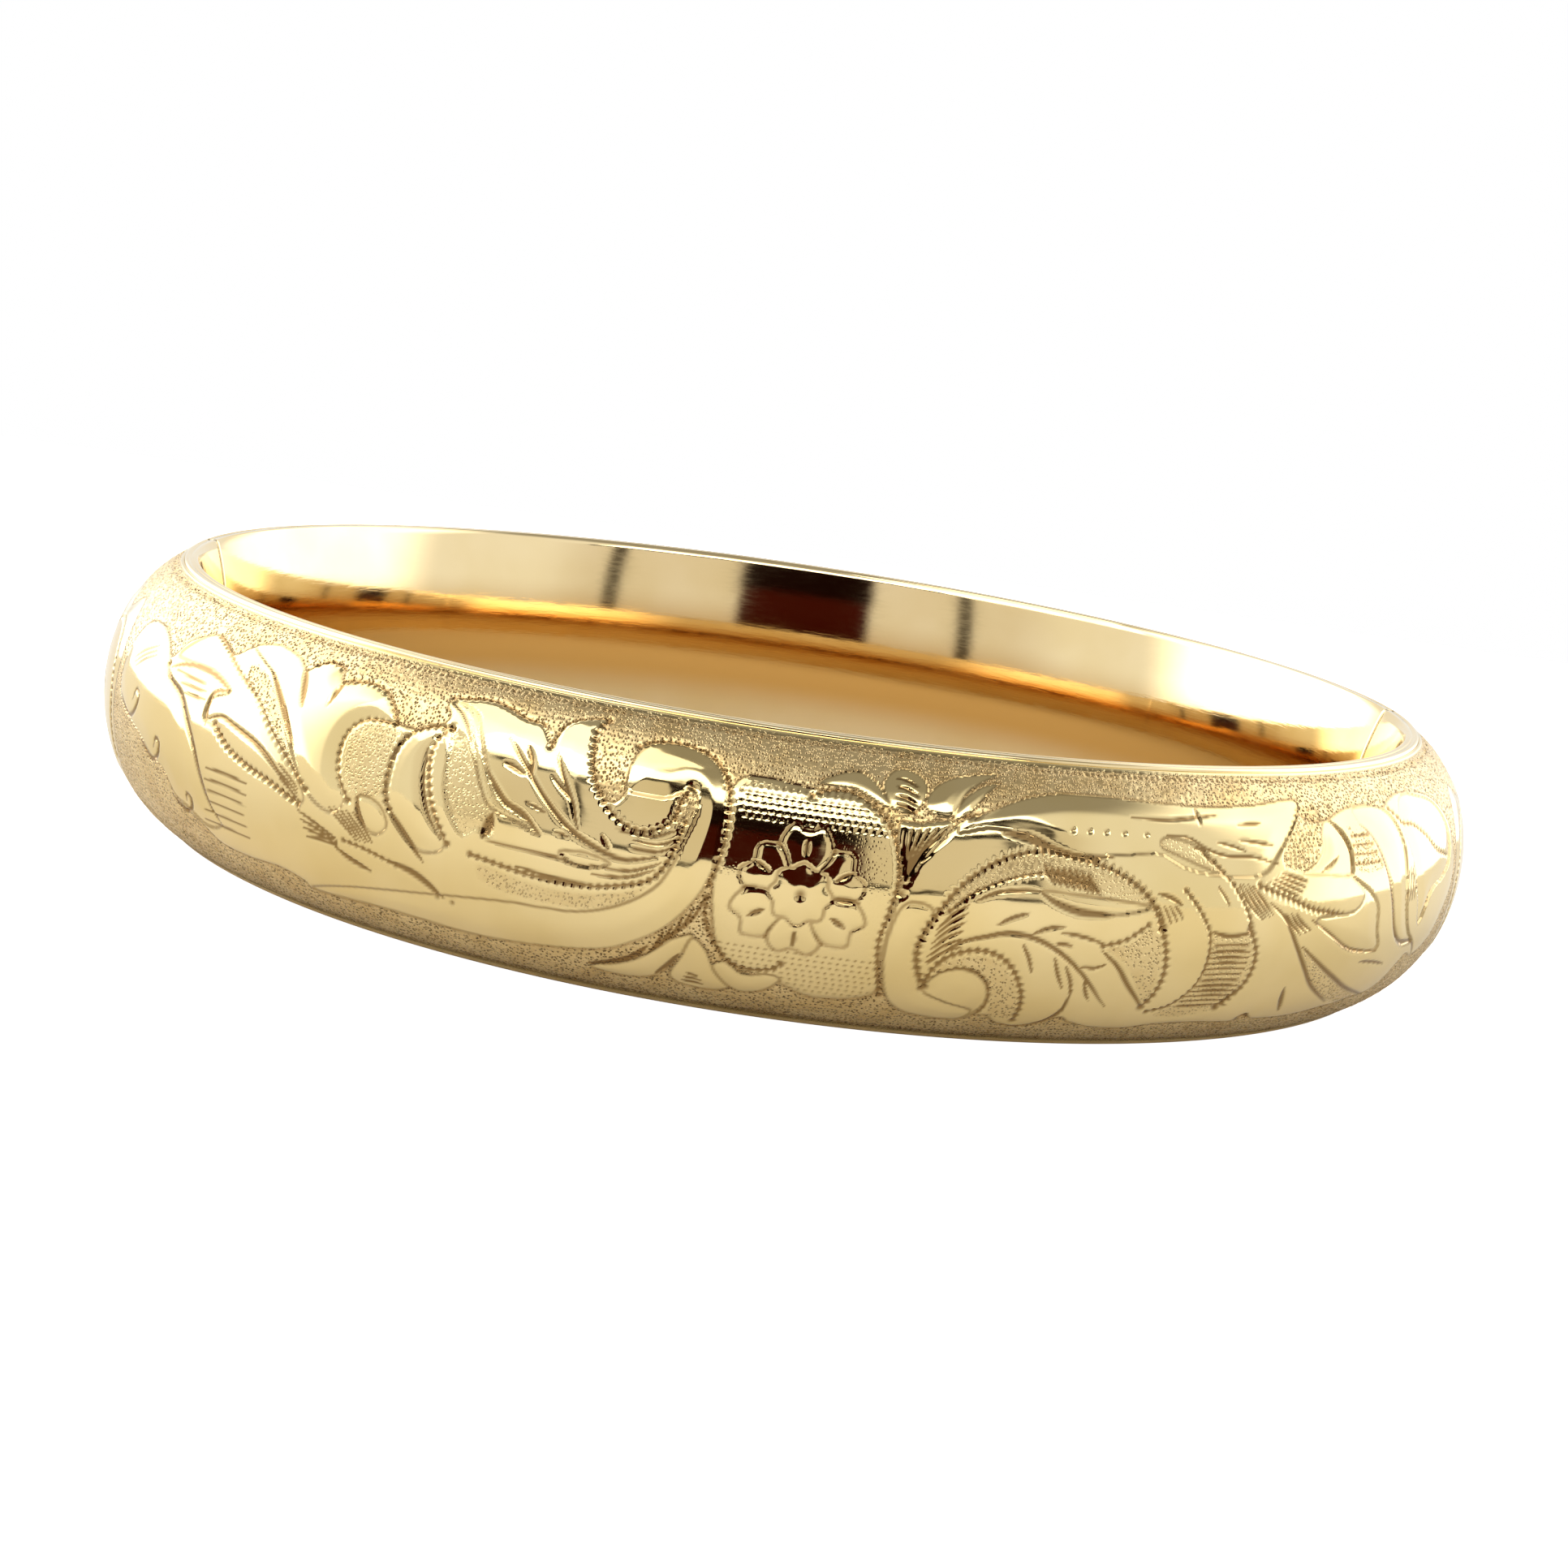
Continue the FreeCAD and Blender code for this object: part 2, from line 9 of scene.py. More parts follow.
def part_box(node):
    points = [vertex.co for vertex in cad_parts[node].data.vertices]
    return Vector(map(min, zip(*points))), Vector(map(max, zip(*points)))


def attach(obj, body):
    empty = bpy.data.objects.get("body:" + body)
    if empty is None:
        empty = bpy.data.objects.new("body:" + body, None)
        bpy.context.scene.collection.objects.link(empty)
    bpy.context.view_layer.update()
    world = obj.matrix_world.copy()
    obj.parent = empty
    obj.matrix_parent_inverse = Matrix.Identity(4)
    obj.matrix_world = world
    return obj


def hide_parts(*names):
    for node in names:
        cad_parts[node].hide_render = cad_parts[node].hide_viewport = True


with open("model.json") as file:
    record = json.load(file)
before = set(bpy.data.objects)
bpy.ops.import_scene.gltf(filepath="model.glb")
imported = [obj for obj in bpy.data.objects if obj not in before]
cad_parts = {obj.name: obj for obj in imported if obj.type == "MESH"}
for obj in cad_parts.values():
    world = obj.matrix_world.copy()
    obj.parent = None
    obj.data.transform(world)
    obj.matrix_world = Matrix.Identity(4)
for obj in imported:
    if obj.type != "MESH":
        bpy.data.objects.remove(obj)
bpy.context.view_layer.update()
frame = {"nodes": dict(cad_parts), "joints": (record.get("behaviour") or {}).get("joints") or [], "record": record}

# The hollow oval bangle: shells and linings are rebuilt here as fine meshes from the formulas of the CAD
# model, in millimetres, and scaled to metres when a mesh is made. Positions on the band are given by
# "along", the distance round the band from the middle of its half, and "across", the distance over the
# dome from the middle of the band, both measured on the outer surface.

MM = 0.001
RIM_LAP = 0.65  # width of a folded rim, from the wrist side outwards
RIM_GAUGE = 0.35  # height of a folded rim
SHEET = 0.35
CROWN = 1.0  # how far the middle of the inner wall stands in towards the wrist
SINK = 0.8  # how far inside the rims' oval the dome's ellipse has its middle
DOME_HALF = 6.2  # half height of that ellipse
EDGE_OFFSET = 0.67  # offset at which a shell ends, beside the rim
NOTCH_RADIUS = 0.95  # notch for the hinge barrel
HINGE_NOTCH = 3.6  # half height of that notch
THUMB_NOTCH = 1.15  # half height of the notch for the thumb piece
THUMB_NOTCH_END = -0.5  # its end, as a y position
GROUND_DEPTH = 0.07  # the matted ground below the polished leaves
CLEAN_EDGE = 6.72  # distance across at which the clean border starts
TICK_ROW = 6.5  # distance across of the row of ticks
FRONT_CELL = 0.085  # spacing of the points on the engraved surface
REAR_CELL = 0.2  # on the plain outer surface
INNER_CELL = 0.7  # and inside both shells
END_STRETCH = 3.0  # length at each end over which a shell's columns move to meet the seam
LINING_COLUMNS = 361
CORNER = 0.12  # rounding of a rim's inner edge
LIP = 0.14  # rounding of its outer edge
VIEW_DISTANCE = 0.1308  # from the middle of the band to the camera, in metres

lining_low, lining_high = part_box("front_lining")
LONG = lining_high.x / MM - RIM_LAP
SHORT = -lining_low.y / MM - RIM_LAP
HALF_BAND = lining_high.z / MM
DOME = -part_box("front_shell")[0].y / MM - SHORT
FRONT_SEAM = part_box("front_shell")[1].y / MM
REAR_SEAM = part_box("rear_shell")[0].y / MM
HINGE = Vector(frame["joints"][0]["pos_m"]) / MM
FLOOR_Z = lining_low.z

random = np.random.default_rng(7)


# Shape of the band ----------------------------------------------------------------------------------


def oval(angle, offset):
    """Point on the oval grown outwards along its normal by offset."""
    across = np.cos(angle) / LONG
    up = np.sin(angle) / SHORT
    size = np.hypot(across, up)
    return LONG * np.cos(angle) + across / size * offset, SHORT * np.sin(angle) + up / size * offset


def dome(z, inset=0.0):
    """Offset of the shell's surface from the rims' oval at height z."""
    return -SINK + (DOME + SINK - inset) * np.sqrt(np.clip(1 - (z / (DOME_HALF - inset)) ** 2, 0, 1))


def dome_slope(z, inset=0.0):
    """Change of the surface's offset with height."""
    half = DOME_HALF - inset
    return -(DOME + SINK - inset) * z / (half * half * np.sqrt(1 - (z / half) ** 2))


def angle_at(depth, offset):
    """Angle near the +X end at which the grown oval reaches y = depth."""
    low = np.full(np.shape(offset), -0.5)
    high = np.full(np.shape(offset), 0.5)
    for _ in range(40):
        middle = (low + high) / 2
        short = oval(middle, offset)[1] < depth
        low = np.where(short, middle, low)
        high = np.where(short, high, middle)
    return (low + high) / 2


def arc_table(x, y):
    """Running length of a line of points."""
    return np.concatenate([[0], np.cumsum(np.hypot(np.diff(x), np.diff(y)))])


TURN = np.linspace(0, 1.75, 4001)
ROUND = arc_table(*oval(TURN - math.pi / 2, DOME))
EDGE_Z = DOME_HALF * math.sqrt(1 - ((EDGE_OFFSET + SINK) / (DOME + SINK)) ** 2)
CLIMB = np.linspace(0, EDGE_Z, 2001)
OVER = arc_table(CLIMB, dome(CLIMB))


def height_at(across):
    """Height z of a distance over the dome."""
    return np.sign(across) * np.interp(np.abs(across), OVER, CLIMB)


def turn_at(along):
    """Angle from the middle of the half, for a distance round the band."""
    return np.sign(along) * np.interp(np.abs(along), ROUND, TURN)


# Drawing on the relief ------------------------------------------------------------------------------


def smooth(value):
    """0 to 1 with a soft start and end."""
    value = np.clip(value, 0, 1)
    return value * value * (3 - 2 * value)


def curve(points, closed=False, step=0.16):
    """Smooth line through the points."""
    points = [np.array(point, float) for point in points]
    if closed:
        ring = [points[-1], *points, points[0], points[1]]
    else:
        ring = [2 * points[0] - points[1], *points, 2 * points[-1] - points[-2]]
    line = []
    for before, start, end, after in zip(ring, ring[1:], ring[2:], ring[3:]):
        count = max(2, int(np.linalg.norm(end - start) / step))
        for share in np.arange(count) / count:
            pull = (end - before) * share + (2 * before - 5 * start + 4 * end - after) * share**2
            line.append(start + (pull + (3 * start - before - 3 * end + after) * share**3) / 2)
    line.append(ring[-2])
    return np.array(line)


class Relief:
    """Height of the engraving on a grid, with how matt each point is and how much painted shade the cuts give it.
    """

    def __init__(self, along, across):
        self.along = along
        self.across = across
        shape = (len(across), len(along))
        self.height = np.full(shape, -GROUND_DEPTH)
        self.ground = np.ones(shape)
        # Painted shade: this cut mask darkens the grooves, outlines, dots and ticks in the material.
        self.cut = np.zeros(shape)

    def window(self, line, margin):
        """The part of the grid round the line, and its points."""
        low, high = line.min(0) - margin, line.max(0) + margin
        columns = slice(*np.searchsorted(self.along, (low[0], high[0])))
        rows = slice(*np.searchsorted(self.across, (low[1], high[1])))
        x, y = np.meshgrid(self.along[columns], self.across[rows])
        return (rows, columns), x, y

    def leaf(self, points, matt=0.0, edge=0.2, lift=GROUND_DEPTH, swell=0.05):
        """A polished, softly swelling shape with a bevelled edge, or a matted one."""
        line = curve(points, closed=True)
        where, x, y = self.window(line, 0.3)
        gap = distance(line, x, y)[0]
        rise = smooth(gap / edge)
        inside = enclosed(line, x, y)
        top = -GROUND_DEPTH + lift * rise + swell * (smooth(gap / 0.9) - 1) * rise
        self.height[where] = np.where(inside, top, self.height[where])
        self.ground[where] = np.where(inside, matt, self.ground[where])
        self.cut[where] = np.where(inside, 0, self.cut[where])
        # Painted shade: a thin outline round the shape is darkened through the cut mask.
        self.cut[where] = np.maximum(self.cut[where], 0.7 * smooth(1.3 - gap / 0.09))

    def pocket(self, points, matt=0.55, depth=0.04):
        """A shallow, partly matted hollow inside a polished shape."""
        line = curve(points, closed=True)
        where, x, y = self.window(line, 0.1)
        sink = smooth(distance(line, x, y)[0] / 0.14) * enclosed(line, x, y)
        self.height[where] -= sink * depth
        self.ground[where] = np.maximum(self.ground[where], sink * matt)

    def stroke(self, points, width=0.2, depth=0.07):
        """A bright cut that swells from both ends."""
        line = curve(points)
        where, x, y = self.window(line, width)
        gap, run, total = distance(line, x, y)
        belly = np.sqrt(np.clip(np.sin(np.pi * np.clip(run / total, 0.02, 0.98)), 0, 1))
        groove = np.clip(1 - gap / (width / 2 * belly + 0.02), 0, 1)
        self.height[where] -= depth * belly * groove
        # Painted shade: the groove is darkened through the cut mask.
        self.cut[where] = np.maximum(self.cut[where], smooth(groove * 2))

    def beads(self, points, pitch=0.34, width=0.34, depth=0.09):
        """A running border of small pointed cuts, set as teeth along a fine line."""
        line = curve(points)
        where, x, y = self.window(line, width)
        gap, run, total = distance(line, x, y)
        count = max(1, round(total / pitch))
        beat = np.abs(2 * (count * run / total % 1) - 1)
        mark = np.clip(1 - gap / (0.05 + width / 2 * beat), 0, 1)
        self.height[where] -= depth * mark * (0.4 + 0.6 * beat)
        # Painted shade: each tooth is darkened through the cut mask.
        self.cut[where] = np.maximum(self.cut[where], smooth(1.5 * mark))

    def fan(self, first, last, count, width=0.18, depth=0.06):
        """Strokes spread evenly from the first one to the last one."""
        first, last = np.array(first, float), np.array(last, float)
        for share in np.linspace(0, 1, count):
            self.stroke(first + (last - first) * share, width, depth)

    def dot(self, x, y, radius=0.14, depth=0.05):
        """A round punch mark."""
        centre = np.array([[x, y]], float)
        where, across, up = self.window(centre, radius)
        pit = smooth(1 - np.hypot(across - x, up - y) / radius)
        self.height[where] -= depth * pit
        # Painted shade: the punch mark is darkened through the cut mask.
        self.cut[where] = np.maximum(self.cut[where], pit)


def distance(line, x, y):
    """Distance to the line, how far along it the nearest point is, and the line's length."""
    best = np.full(x.shape, 99.0)
    place = np.zeros(x.shape)
    run = 0.0
    for start, end in zip(line[:-1], line[1:]):
        step = end - start
        length = math.hypot(*step)
        if length < 1e-6:
            continue
        share = np.clip(((x - start[0]) * step[0] + (y - start[1]) * step[1]) / length**2, 0, 1)
        gap = np.hypot(x - start[0] - share * step[0], y - start[1] - share * step[1])
        closer = gap < best
        best = np.where(closer, gap, best)
        place = np.where(closer, run + share * length, place)
        run += length
    return best, place, run


def enclosed(line, x, y):
    """Whether each point lies inside the closed line."""
    inside = np.zeros(x.shape, bool)
    for start, end in zip(line, np.roll(line, -1, axis=0)):
        if start[1] == end[1]:
            continue
        crosses = (start[1] > y) != (end[1] > y)
        reach = start[0] + (y - start[1]) * (end[0] - start[0]) / (end[1] - start[1])
        inside ^= crosses & (x < reach)
    return inside


# The engraving --------------------------------------------------------------------------------------


def engrave_flower(relief):
    """The rosette on its punched ground."""
    middle = np.array([0.35, 0.1])
    relief.leaf([
        (-3.1, 0), (-3.05, 3), (-2.4, 4.5), (0.3, 4.4), (2.2, 4.4), (3.6, 3.2), (4.1, 0.8), (3.9, -2),
        (3.9, -4), (1.6, -4.6), (-0.2, -3.9), (-1.6, -3.5), (-2.6, -2.6)],
        matt=0.03, lift=0.055, swell=0, edge=0.3)
    for y in (*np.arange(2.9, 4.2, 0.26), *np.arange(-4.2, -2.2, 0.26)):
        for x in np.arange(-2.4, 3.7, 0.3):
            relief.dot(x + 0.15 * math.sin(9 * y), y, 0.1, 0.045)
    for index in range(6):
        lean = math.pi * (index + 0.5) / 3
        out = np.array([math.cos(lean), math.sin(lean)])
        side = np.array([-out[1], out[0]])
        reach = 2.75 if index % 2 else 2.5
        relief.leaf([middle + out * far + side * wide for far, wide in (
            (0.9, -0.5), (1.9, -1.05), (reach, -0.62), (reach - 0.22, 0), (reach, 0.62), (1.9, 1.05),
            (0.9, 0.5))], swell=0.03)
        relief.stroke([middle + out * 1.5, middle + out * 2.2], 0.26, 0.09)
        split = np.array([math.cos(lean + math.pi / 6), math.sin(lean + math.pi / 6)])
        relief.stroke([middle + split * 1.3, middle + split * 2.3], 0.34, 0.1)
    turns = np.linspace(0, 2 * math.pi, 49)[:-1]
    ring = []
    for turn in turns:
        reach = 1.2 + 0.09 * math.cos(8 * turn)
        ring.append(middle + reach * np.array([math.cos(turn), math.sin(turn)]))
    relief.leaf(ring, edge=0.25)
    relief.dot(*middle, 0.34, 0.1)


def engrave_frames(relief):
    """The beaded lines on both sides of the rosette and the arc under it."""
    relief.beads([
        (-7, 5), (-6.2, 5.4), (-4.8, 5.4), (-3.7, 4.9), (-3, 3.8), (-2.85, 2.4), (-3, 0.8), (-3.2, 0)])
    relief.beads([
        (-3.25, -0.6), (-3.2, -1.5), (-2.7, -2.5), (-2, -3.3), (-1.2, -3.5), (-0.3, -3.3), (0, -3)],
        width=0.4)
    relief.beads([
        (0.3, 4.1), (1, 4.4), (1.8, 4.45), (2.6, 4.1), (3.4, 3.4), (3.9, 2.4), (4.1, 1.2), (3.9, -0.2),
        (3.7, -1.4), (3.9, -2.8), (4.2, -4)], width=0.38, depth=0.1)


def engrave_left_field(relief):
    """The large polished shape that carries the left side."""
    relief.leaf([
        (-3.1, 1), (-3.4, 0), (-3.9, -1.1), (-4.7, -2.1), (-6, -3.1), (-7.4, -3.8), (-10, -4.3),
        (-13, -4.6), (-17, -4.45), (-21, -4.7), (-21.7, -4.3), (-23, -4), (-25, -4.1), (-27, -4),
        (-28.4, -3.3), (-29.6, -2.9), (-30.6, -2.2), (-31.4, -1.4), (-32.8, -1.2), (-33.6, -0.7),
        (-34.8, -0.3), (-36, -0.1), (-37.2, 0.5), (-37.8, 1.6), (-37.6, 3), (-36.8, 4.1), (-35, 4.3),
        (-33.6, 3.9), (-32.5, 3.3), (-31.7, 4.3), (-30.2, 5), (-29.2, 4.9), (-28, 4.5), (-27.2, 5.1),
        (-26, 5.6), (-25, 5.55), (-24, 5.3), (-23.3, 4.9), (-22.9, 5.3), (-22.2, 5.6), (-21.5, 5.5),
        (-21.05, 4.8), (-20, 5.1), (-19, 5.05), (-18.2, 4.6), (-17.6, 3.8), (-16.6, 3.7), (-15.6, 4.1),
        (-15.3, 4.6), (-15.7, 5.2), (-15, 5.5), (-14, 5.7), (-13, 5.55), (-12, 5.2), (-11.2, 5.1),
        (-10.5, 4.2), (-10.4, 4.9), (-10.1, 5.5), (-9.4, 5.85), (-8.6, 5.9), (-8.8, 4.6), (-8.4, 3.2),
        (-7.6, 2.5), (-7.1, 3), (-7.1, 4), (-6.9, 4.9), (-6.2, 5.3), (-5.2, 5.4), (-4.1, 5.1),
        (-3.5, 4.6), (-3.1, 3.8), (-2.95, 2.5)], edge=0.14, swell=0.02)


def engrave_scroll(relief):
    """The C-scroll beside the rosette: its round head, its eye and its long stem."""
    relief.leaf([
        (-7.1, 3.2), (-7.1, 4.2), (-6.8, 4.9), (-6.2, 5.3), (-5.2, 5.4), (-4.1, 5.1), (-3.5, 4.6),
        (-3.1, 3.8), (-2.95, 2.5), (-3.05, 1), (-3.6, -0.6), (-4.7, -2.1), (-6, -3.1), (-7.4, -3.8),
        (-10, -4.3), (-13, -4.55), (-17, -4.42), (-21.3, -4.62), (-19, -3.75), (-15, -2.95),
        (-11.4, -2.4), (-8.6, -2.2), (-6.8, -1.6), (-5.4, -0.6), (-4.8, 0.4), (-4.4, 1.6), (-4.1, 2.8),
        (-4.5, 3.6), (-5.3, 3.1), (-6.4, 3)], swell=0.06)
    relief.pocket([(-4.8, 3.5), (-4.3, 3.5), (-4.1, 2.8), (-4.5, 2.1), (-5, 2), (-5.1, 2.8)], 0.9, 0.06)
    relief.beads([
        (-8.6, 5.9), (-8.9, 5.3), (-8.8, 4.4), (-8.5, 3.4), (-8, 2.6), (-7.2, 1.9), (-6.3, 1.6),
        (-5.5, 1.8), (-5, 2.3), (-4.8, 3.1), (-4.5, 3.6)], width=0.42, depth=0.1)
    relief.beads([
        (-4.5, 2.2), (-4.7, 1.3), (-5, 0.5), (-5.5, -0.2), (-6.4, -0.6), (-7.6, -0.9), (-9, -1.05),
        (-10.5, -1), (-13, -0.7)])
    relief.stroke([(-11, -0.75), (-10, -0.87), (-9, -0.93), (-7.8, -0.9)], 0.2, 0.08)
    relief.pocket([
        (-12.6, -1), (-10.5, -1.3), (-8.4, -1.3), (-6.6, -0.9), (-5.6, -0.5), (-6.4, -1.4), (-8, -2),
        (-10.4, -2.1), (-12.4, -1.8)], 0.5)
    for start, bend, end in (
        ((-7.2, 1.5), (-5.8, 1.45), (-4.7, 1.9)), ((-6.4, 1.2), (-5.4, 1.2), (-4.6, 1.6)),
        ((-6.6, 0.9), (-5.5, 0.9), (-4.8, 1.2)), ((-7.5, -0.1), (-6.3, 0), (-5.2, 0.5)),
        ((-7.9, -0.45), (-6.5, -0.3), (-5.4, 0.2)),
    ):
        relief.stroke([start, bend, end], 0.15, 0.06)
    for shift in range(5):
        x, y = -3.35 - 0.36 * shift, -0.7 - 0.42 * shift
        relief.stroke([(x, y), (x - 0.25, y - 0.7), (x - 0.62, y - 1.35)], 0.17, 0.09)


def engrave_veined_leaf(relief):
    """The veined leaf between the ribbon and the C-scroll."""
    relief.stroke([
        (-12.4, 4.3), (-11.2, 3.1), (-10.2, 2.1), (-9, 1.15), (-7.6, 0.55), (-6.6, 0.4), (-5.4, 0.7)],
        0.3, 0.09)
    relief.stroke([(-11.5, 4.1), (-11.2, 3.6), (-11, 2.9)], 0.3, 0.08)
    relief.stroke([(-12.3, 3.2), (-11.8, 3.1), (-11.2, 2.85)], 0.3, 0.07)
    relief.stroke([(-10.2, 4.1), (-9.8, 3.3), (-9.1, 2.2), (-8.9, 1.7), (-8.7, 1.2)], 0.24, 0.08)
    relief.stroke([(-10.2, 3.1), (-9.7, 2.7), (-9.2, 2.3)], 0.2, 0.07)
    relief.stroke([(-7.7, 1.2), (-7.5, 0.9), (-7.3, 0.6)], 0.18)
    relief.stroke([(-11, 1.85), (-10.6, 1.75), (-10.1, 1.6)], 0.16)
    relief.stroke([(-9.6, 0.95), (-9.3, 0.9), (-9, 0.85)], 0.14)
    relief.leaf([
        (-9.3, 0.2), (-8.5, 0.35), (-7.8, 0.3), (-7.2, 0.1), (-8, -0.2), (-8.7, -0.15)])
    relief.beads([(-10.6, 4.2), (-10.4, 5), (-10.1, 5.5), (-9.4, 5.85), (-8.7, 5.95)], width=0.26)
    relief.beads([(-15.6, 5.45), (-14, 5.75), (-13, 5.6), (-12, 5.25), (-11.2, 5.15)], width=0.26)


def engrave_ribbon(relief):
    """The folded ribbon leaf, with the deep hollow beside it."""
    relief.leaf([
        (-15.2, 4.1), (-16.3, 3.8), (-17, 3), (-17.2, 2), (-17.1, 0.8), (-16.7, 0), (-15.6, -1),
        (-14.6, -1), (-14.2, -0.5), (-14.9, 0.6), (-15.4, 1.8), (-15.6, 3)], swell=0.06)
    relief.pocket([
        (-15, 4), (-14.8, 2.8), (-14.6, 1.6), (-14, 0.4), (-13.4, -0.1), (-12.8, 0.3), (-12.1, 0.1),
        (-12.2, 1.1), (-12.9, 1.9), (-13.6, 3), (-14.3, 3.9)], 0.35, 0.07)
    relief.beads([
        (-15, 4.1), (-15.4, 3.6), (-15.5, 3), (-15.4, 2.2), (-15.1, 1.2), (-14.7, 0.4), (-14.1, -0.5)],
        width=0.42, depth=0.11)
    relief.stroke([(-15.75, 3.1), (-15.6, 1.8), (-15.1, 0.5), (-14.4, -0.4)], 0.18, 0.1)
    relief.stroke([(-12.55, 0.1), (-12.4, 0.6), (-12.3, 1.1)], 0.6, 0.1)
    relief.stroke([(-12.7, 0.05), (-11, 0), (-9.4, -0.05), (-8.6, -0.2), (-7.6, -0.05)], 0.14, 0.06)
    relief.leaf([
        (-15.6, 5.25), (-14.7, 5.2), (-14, 4.8), (-13.6, 4), (-13, 3), (-12.4, 2.1), (-11.8, 1.6),
        (-10.9, 1.2), (-10.2, 0.7), (-11.2, 1), (-12.4, 1.3), (-13, 2), (-13.6, 3.1), (-14.2, 4.1),
        (-14.8, 4.8)],
        matt=0.1, edge=0.16, swell=0.04)
    relief.stroke([(-12.95, 2.8), (-12.4, 2.2), (-11.8, 1.65), (-11, 1.35), (-10.2, 0.7)], 0.34, 0.1)
    relief.beads([
        (-15, 4.1), (-15.8, 4), (-16.6, 3.6), (-17.1, 2.8), (-17.25, 1.8), (-17.2, 0.9), (-16.9, 0.3)])
    relief.stroke([(-16.9, 0.3), (-16.2, -0.4), (-15.6, -1), (-15.1, -1.5)], 0.3, 0.06)


def engrave_fan(relief):
    """The fan of long lobes that meet left of the ribbon leaf, and its dotted hollow."""
    relief.leaf([
        (-27.1, 5.2), (-26, 5.6), (-25, 5.55), (-24, 5.3), (-23.3, 4.9), (-22.9, 5.3), (-22.2, 5.6),
        (-21.5, 5.5), (-21.05, 4.8), (-20, 5.1), (-19, 5.05), (-18.2, 4.6), (-17.6, 3.8), (-18.8, 3.6),
        (-19.5, 3.1), (-19.75, 2.2), (-19.6, 1.1), (-19.1, 0.2), (-19.6, -0.5), (-20.6, -0.3),
        (-21.6, 0.5), (-22.4, 1.6), (-23.2, 2.6), (-24, 3.5), (-25, 4.3), (-26, 4.7)
    ], swell=0.06)
    relief.pocket([
        (-26.4, 4.5), (-25, 4.1), (-23.8, 3.1), (-22.8, 1.9), (-21.6, 0.5), (-22.8, 1.4), (-24, 2.4),
        (-25, 3.1), (-26.4, 3.7)], 0.9, 0.06)
    relief.stroke([(-25, 4.35), (-24, 3.5), (-23.2, 2.7), (-22.3, 1.6)], 0.36, 0.1)
    relief.stroke([(-23.4, 4.95), (-23, 4.4), (-22.7, 3.8), (-22.5, 3.3)], 0.4, 0.11)
    relief.stroke([(-21, 4.95), (-21.1, 4.4), (-21.2, 3.7)], 0.3, 0.1)
    relief.pocket([
        (-19.5, 2.8), (-18.9, 3.5), (-17.8, 3.6), (-17.2, 3.4), (-17.3, 2), (-17.3, 0.9), (-17.8, 0.5),
        (-18.8, 0.5), (-19.4, 1.4)], 0.6)
    relief.leaf([
        (-18.5, 0.35), (-18, 0.55), (-17.3, 0.3), (-16.9, -0.4), (-17.4, -0.9), (-18.1, -0.6)], swell=0.02)
    relief.stroke([(-18.5, 0.45), (-18.4, -0.1), (-17.9, -0.9)], 0.26, 0.09)
    relief.beads([(-20.7, 5.05), (-19.4, 5.15), (-18.4, 4.75), (-17.6, 3.75)], width=0.3)
    relief.beads([
        (-17.6, 3.7), (-18.9, 3.6), (-19.6, 3), (-19.8, 2), (-19.5, 0.9), (-18.9, 0.2)], width=0.36)
    relief.beads([(-22.9, 5.3), (-22.3, 5.65), (-21.5, 5.5)], width=0.26)
    relief.fan(
        [(-19.9, -0.3), (-19, -0.9), (-18.3, -1.4)], [(-18.6, -0.2), (-18.1, -0.7), (-17.5, -1.3)],
        5, 0.14)
    relief.fan(
        [(-21.5, -0.85), (-20.3, -1.25), (-19.3, -1.6)], [(-21, -1.85), (-20.2, -1.85), (-19.3, -1.9)],
        4, 0.17)
    relief.beads([(-19, -1.55), (-18, -1.65), (-17, -1.85), (-16.4, -2)], width=0.28)
    relief.stroke([(-16.6, -1.9), (-15.6, -2.1), (-14.8, -2.5), (-14.2, -2.95)], 0.4, 0.08)
    relief.stroke([(-19.4, -1.95), (-18.7, -2.3), (-17.6, -2.6)], 0.3, 0.1)
    relief.dot(-14.5, -3, 0.2, 0.08)
    relief.dot(-13.8, -3.1, 0.18, 0.08)


